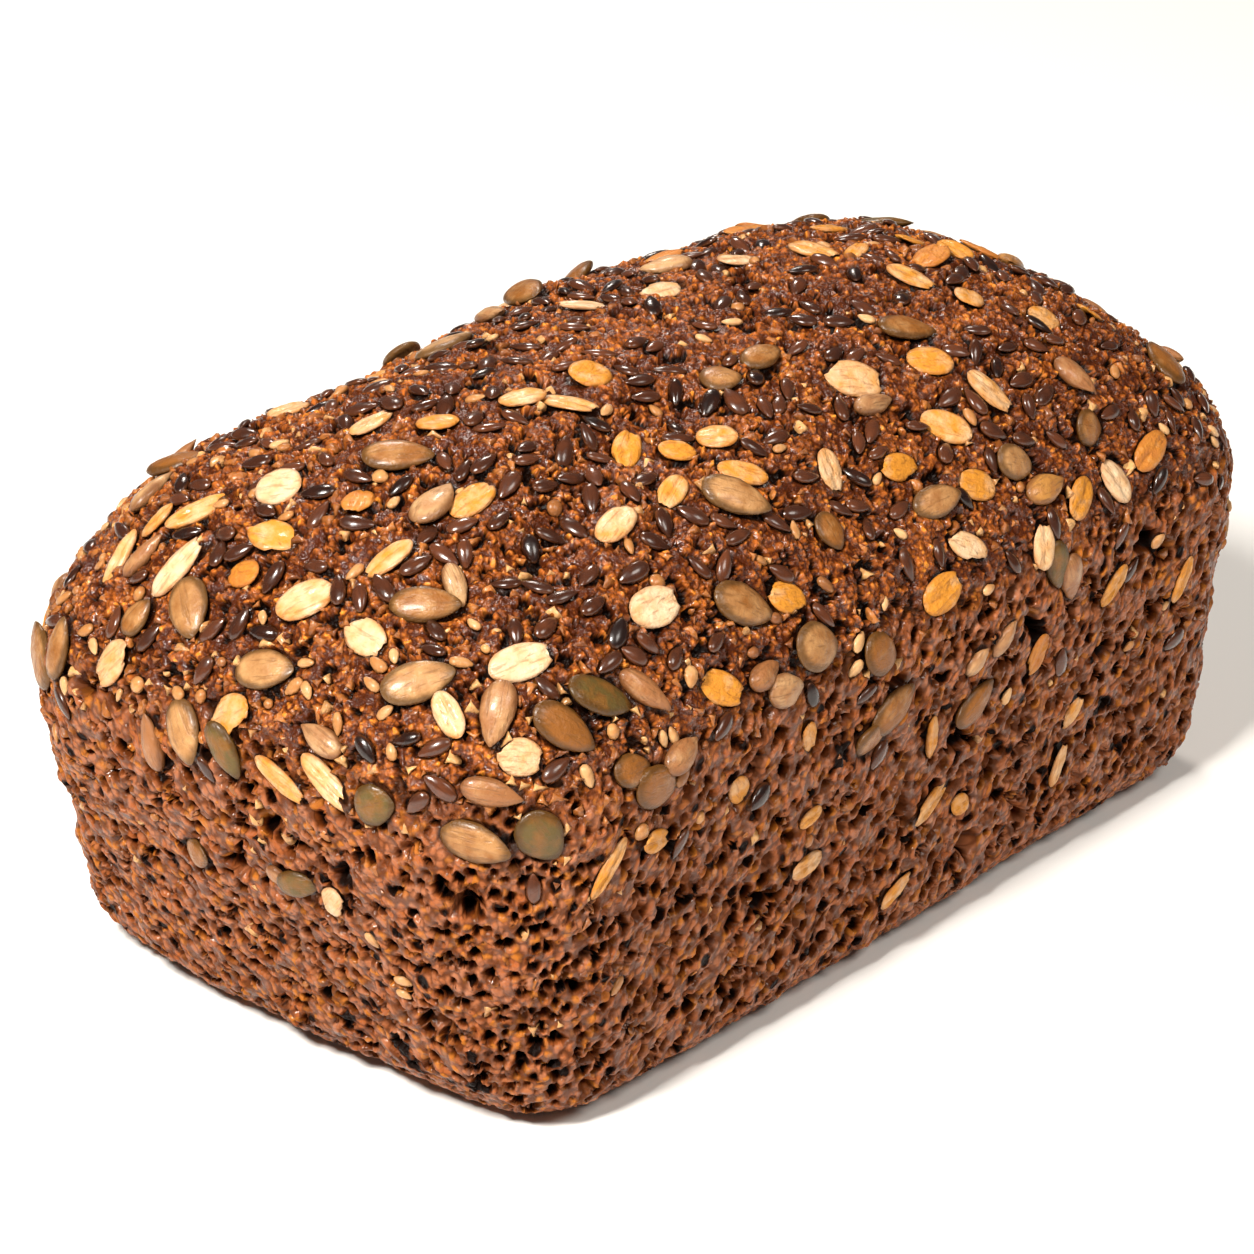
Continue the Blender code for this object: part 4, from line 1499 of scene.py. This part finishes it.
@dataclass(frozen=True)
class KernelFinish:
    """A seed's skin: two main shades, a margin, streaks and blotches, under a film of oil."""

    name: str
    pale: str
    deep: str
    margin: str
    odd: str                      # shade of the few that differ
    odd_share: float = 0.12
    margin_start: float = 0.70
    margin_share: float = 0.8
    streak: str = "6B4A2A"
    streak_share: float = 0.35
    roughness: float = 0.42
    coat: float = 0.25
    grain: float = 1.4            # waves of the fine relief for each millimetre
    relief: float = 0.25          # millimetres
    bleed: float = 0.15           # how far the margin wanders inwards

    def build(self) -> bpy.types.Material:
        """Build the seed's material.

        Returns:
            The material.
        """
        material, nodes = new_material(self.name)
        local = nodes.add("ShaderNodeAttribute", output="Vector", attribute_name="local")
        tone = nodes.add("ShaderNodeAttribute", output="Fac", attribute_name="tone")
        place = nodes.add("ShaderNodeTexCoord", output="Object")
        place = nodes.add("ShaderNodeVectorMath", {0: place, "Scale": 1.0 / MM}, operation="SCALE")
        blotch = nodes.add("ShaderNodeTexNoise", {"Vector": place, "Scale": 0.45, "Detail": 3.0})
        streaks = self.streaks(nodes, place, local)
        colour = shaded(nodes, linear(self.pale), (
            (self.depth(nodes, tone, blotch), self.deep),
            (self.unlike(nodes, tone, blotch), self.odd), (streaks, self.streak),
            (self.rim(nodes, local, blotch), self.margin)))
        fine = nodes.add("ShaderNodeTexNoise", {"Vector": place, "Scale": self.grain,
                                                "Detail": 3.0, "Roughness": 0.6})
        fine = nodes.add("ShaderNodeMath", {0: streaks, 1: -0.5, 2: fine}, operation="MULTIPLY_ADD")
        bump = nodes.add("ShaderNodeBump", {"Height": fine, "Distance": self.relief * MM,
                                            "Strength": 0.8})
        wet = nodes.add("ShaderNodeMapRange", {
            "Value": blotch, "From Min": 0.35, "From Max": 0.65,
            "To Min": self.roughness - 0.1, "To Max": self.roughness + 0.12})
        shader = nodes.add("ShaderNodeBsdfPrincipled", {
            "Base Color": colour, "Roughness": wet, "Normal": bump,
            "Specular IOR Level": 0.35, "Coat Weight": self.coat, "Coat Roughness": 0.15,
            "IOR": 1.45})
        nodes.add("ShaderNodeOutputMaterial", {"Surface": shader})
        return material

    def depth(self, nodes: Nodes, tone: Socket, blotch: Socket) -> Socket:
        """Return how far the deep shade shows: by each kernel's own tone, and in blotches."""
        shade = nodes.add("ShaderNodeMath", {0: tone, 1: 0.62, 2: -0.08}, operation="MULTIPLY_ADD")
        shade = nodes.add("ShaderNodeMath", {0: blotch, 1: 0.9, 2: shade}, operation="MULTIPLY_ADD")
        return nodes.add("ShaderNodeMapRange", {"Value": shade, "From Min": 0.28, "From Max": 0.80})

    def unlike(self, nodes: Nodes, tone: Socket, blotch: Socket) -> Socket:
        """Return how far the odd shade shows, on the few kernels that differ."""
        few = nodes.add("ShaderNodeMath", {0: tone, 1: 1.0 - self.odd_share},
                        operation="GREATER_THAN")
        patch = nodes.add("ShaderNodeMapRange", {
            "Value": blotch, "From Min": 0.38, "From Max": 0.58, "To Min": 0.45,
            "To Max": 1.0})
        return nodes.add("ShaderNodeMath", {0: few, 1: patch}, operation="MULTIPLY")

    def streaks(self, nodes: Nodes, place: Socket, local: Socket) -> Socket:
        """Return how far the streaks show, which run along the kernel."""
        lengthwise = nodes.add("ShaderNodeVectorMath", {0: local, 1: (0.7, 5.0, 1.0)},
                               operation="MULTIPLY")
        lengthwise = nodes.add("ShaderNodeVectorMath", {0: place, 1: (0.25, 0.25, 0.25),
                                                        2: lengthwise},
                               operation="MULTIPLY_ADD")
        streaks = nodes.add("ShaderNodeTexNoise", {"Vector": lengthwise, "Scale": 1.0,
                                                   "Detail": 2.0})
        return nodes.add("ShaderNodeMapRange", {
            "Value": streaks, "From Min": 0.52, "From Max": 0.70,
            "To Max": self.streak_share}, interpolation_type="SMOOTHSTEP")

    def rim(self, nodes: Nodes, local: Socket, blotch: Socket) -> Socket:
        """Return how far the margin's shade shows, round the kernel's edge."""
        flat = nodes.add("ShaderNodeVectorMath", {0: local, 1: (1.0, 1.0, 0.0)},
                         operation="MULTIPLY")
        outward = nodes.add("ShaderNodeVectorMath", {0: flat}, output="Value", operation="LENGTH")
        outward = nodes.add("ShaderNodeMath", {0: blotch, 1: self.bleed, 2: outward},
                            operation="MULTIPLY_ADD")
        return nodes.add("ShaderNodeMapRange", {
            "Value": outward, "From Min": self.margin_start,
            "From Max": self.margin_start + 0.28, "To Max": self.margin_share},
            interpolation_type="SMOOTHSTEP")


FINISHES = {
    # roasted in the crust: the thin green skin turns tan on the dome and stays at the margin
    Kernel.PUMPKIN: KernelFinish("roasted_pumpkin_kernel", "B98C5C", "84501E", "462C0C",
                                 "5A4820", odd_share=0.16, streak="6A4420",
                                 streak_share=0.50, margin_start=0.72, coat=0.15,
                                 roughness=0.38),
    # hulled and greyish, streaked along, with a darker point
    Kernel.SUNFLOWER: KernelFinish("hulled_sunflower_kernel", "BC9468", "925E36", "6B4020",
                                   "B07A3A", odd_share=0.2, streak="6F4A2A",
                                   streak_share=0.55, margin_start=0.82),
    # steamed, rolled and toasted: starchy cream, golden where oil soaked in, bran at the edge
    Kernel.OAT: KernelFinish("rolled_oat_flake", "D8BA96", "C88226", "98561C", "B8702C",
                             odd_share=0.25, streak="8E501E", streak_share=0.45,
                             margin_start=0.86, margin_share=0.6, roughness=0.5,
                             coat=0.15, relief=0.35),
    # a hard, glassy seed coat
    Kernel.FLAX: KernelFinish("flax_seed_coat", "5C321E", "381C10", "683A1C", "1A0C08",
                              odd_share=0.15, streak="24100A", streak_share=0.3,
                              margin_start=0.85, margin_share=0.5, roughness=0.25,
                              coat=0.5, relief=0.06),
    # hulled, matt and ivory, toasted a little
    Kernel.SESAME: KernelFinish("hulled_sesame", "D6A874", "A8703C", "8A5628", "7A4A26",
                                streak_share=0.15, margin_start=0.9, margin_share=0.4),
    # small round grains, pale yellow and glassy
    Kernel.MILLET: KernelFinish("hulled_millet", "C8935A", "9A6030", "7A4620", "7A4A2A",
                                streak_share=0.1, margin_start=0.95, margin_share=0.3,
                                roughness=0.35),
    # broken rye grain, swollen with malt: amber and half clear
    Kernel.NIB: KernelFinish("cracked_rye_grain", "B06C32", "743E18", "50280E", "CF9C62",
                             odd_share=0.28, streak="4A2612", streak_share=0.4,
                             margin_start=0.8, margin_share=0.5, roughness=0.35, coat=0.4),
}


# ---- studio ---------------------------------------------------------------------------------


@dataclass(frozen=True)
class Softbox:
    """One square soft lamp that faces the loaf, in degrees, metres and watts."""

    name: str
    azimuth: float
    elevation: float
    distance: float
    size: float
    power: float
    colour: str


@dataclass
class Studio:
    """A pale floor, soft lamps and a long-lens camera."""

    azimuth: float = -48.2
    elevation: float = 26.0
    distance: float = 0.708
    field_of_view: float = 16.0
    aim: tuple[float, float, float] = (-0.0056, 0.0018, 0.0399)
    sensor: float = 36.0
    nearest: float = 0.05
    floor_size: float = 6.0
    floor_gap: float = 0.2 * MM
    floor_colour: str = "F4F3F1"
    world_strength: float = 0.08
    lamps: tuple[Softbox, ...] = (
        Softbox("key_softbox", -80.0, 48.0, 0.9, 0.18, 14.5, "FFFAF2"),
        Softbox("rim_softbox", 140.0, 42.0, 1.0, 0.16, 4.0, "FFF5EA"),
        Softbox("fill_softbox", 0.0, 48.0, 1.2, 0.4, 6.5, "FFF9F0"),
    )

    def stand(self, name: str, data: bpy.types.ID, azimuth: float, elevation: float,
              distance: float) -> bpy.types.Object:
        """Stand a camera or a lamp round the loaf, facing it.

        Args:
            name: The object's name.
            data: The camera or lamp.
            azimuth: Direction it stands in, in degrees.
            elevation: Height above the horizon, in degrees.
            distance: Distance from the point that all aim at, in metres.

        Returns:
            The object.
        """
        back = Vector(bearing(azimuth, elevation))
        item = bpy.data.objects.new(name, data)
        item.location = Vector(self.aim) + back * distance
        item.rotation_euler = (-back).to_track_quat("-Z", "Y").to_euler()
        bpy.context.collection.objects.link(item)
        return item

    def place_camera(self) -> None:
        """Place the camera that the scene is seen through."""
        data = bpy.data.cameras.new("studio_camera")
        data.sensor_width = self.sensor
        data.lens = self.sensor / 2 / math.tan(math.radians(self.field_of_view / 2))
        data.clip_start = self.nearest
        bpy.context.scene.camera = self.stand("studio_camera", data, self.azimuth,
                                              self.elevation, self.distance)

    def lay_floor(self) -> None:
        """Lay a wide pale floor under the loaf."""
        bpy.ops.mesh.primitive_plane_add(size=self.floor_size, location=(0.0, 0.0, -self.floor_gap))
        floor = bpy.context.object
        floor.name = "studio_floor"
        material = bpy.data.materials.new("white_paper_sweep")
        material.use_nodes = True
        shader = material.node_tree.nodes["Principled BSDF"]
        shader.inputs["Base Color"].default_value = linear(self.floor_colour)
        shader.inputs["Roughness"].default_value = 0.9
        floor.data.materials.append(material)

    def light(self) -> None:
        """Light the loaf from the upper left, with a soft fill and a lamp behind."""
        for lamp in self.lamps:
            data = bpy.data.lights.new(lamp.name, "AREA")
            data.shape = "SQUARE"
            data.size = lamp.size
            data.energy = lamp.power
            data.color = linear(lamp.colour)[:3]
            self.stand(lamp.name, data, lamp.azimuth, lamp.elevation, lamp.distance)
        world = bpy.data.worlds.new("studio_world")
        world.use_nodes = True
        background = world.node_tree.nodes["Background"]
        background.inputs["Color"].default_value = (1.0, 1.0, 1.0, 1.0)
        background.inputs["Strength"].default_value = self.world_strength
        bpy.context.scene.world = world
        bpy.context.scene.view_settings.view_transform = "Standard"

    def build(self) -> None:
        """Set up the floor, the light and the camera."""
        self.place_camera()
        self.lay_floor()
        self.light()


def dress(piece: bpy.types.Object, finish: bpy.types.Material) -> None:
    """Give a piece its finish and tie it to the loaf.

    Args:
        piece: The piece.
        finish: Its material.
    """
    piece.data.materials.append(finish)
    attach(piece, BODY)
    LOG.info("%s: %d faces", piece.name, len(piece.data.polygons))


def main() -> None:
    """Build the crust, the seeds and the studio."""
    logging.basicConfig(level=logging.INFO, format="%(name)s: %(message)s")
    crust = Crust()
    crust.grow_skin()
    LOG.info("skin: %d points", len(crust.skin.data.vertices))
    models = {kind: KernelMaker(kind).models() for kind in Kernel}
    bed = crust.seed_bed()
    for mark in LANDMARKS:
        bed.lay(mark)
    for kind in Kernel:
        bed.strew(kind, len(models[kind]))
    crust.raise_relief(bed.pressed())
    finishes = {zone: CrustFinish().build(zone) for zone in CrustZone}
    for part, piece in crust.cut_apart().items():
        dress(piece, finishes[part.zone])
        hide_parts(LOAF)
    for kind in Kernel:
        piece = join_kernels(kind, models[kind], bed.placed[kind])
        LOG.info("%s: %d kernels", piece.name, len(bed.placed[kind]))
        dress(piece, FINISHES[kind].build())
    Studio().build()


if __name__ == "__main__":
    main()
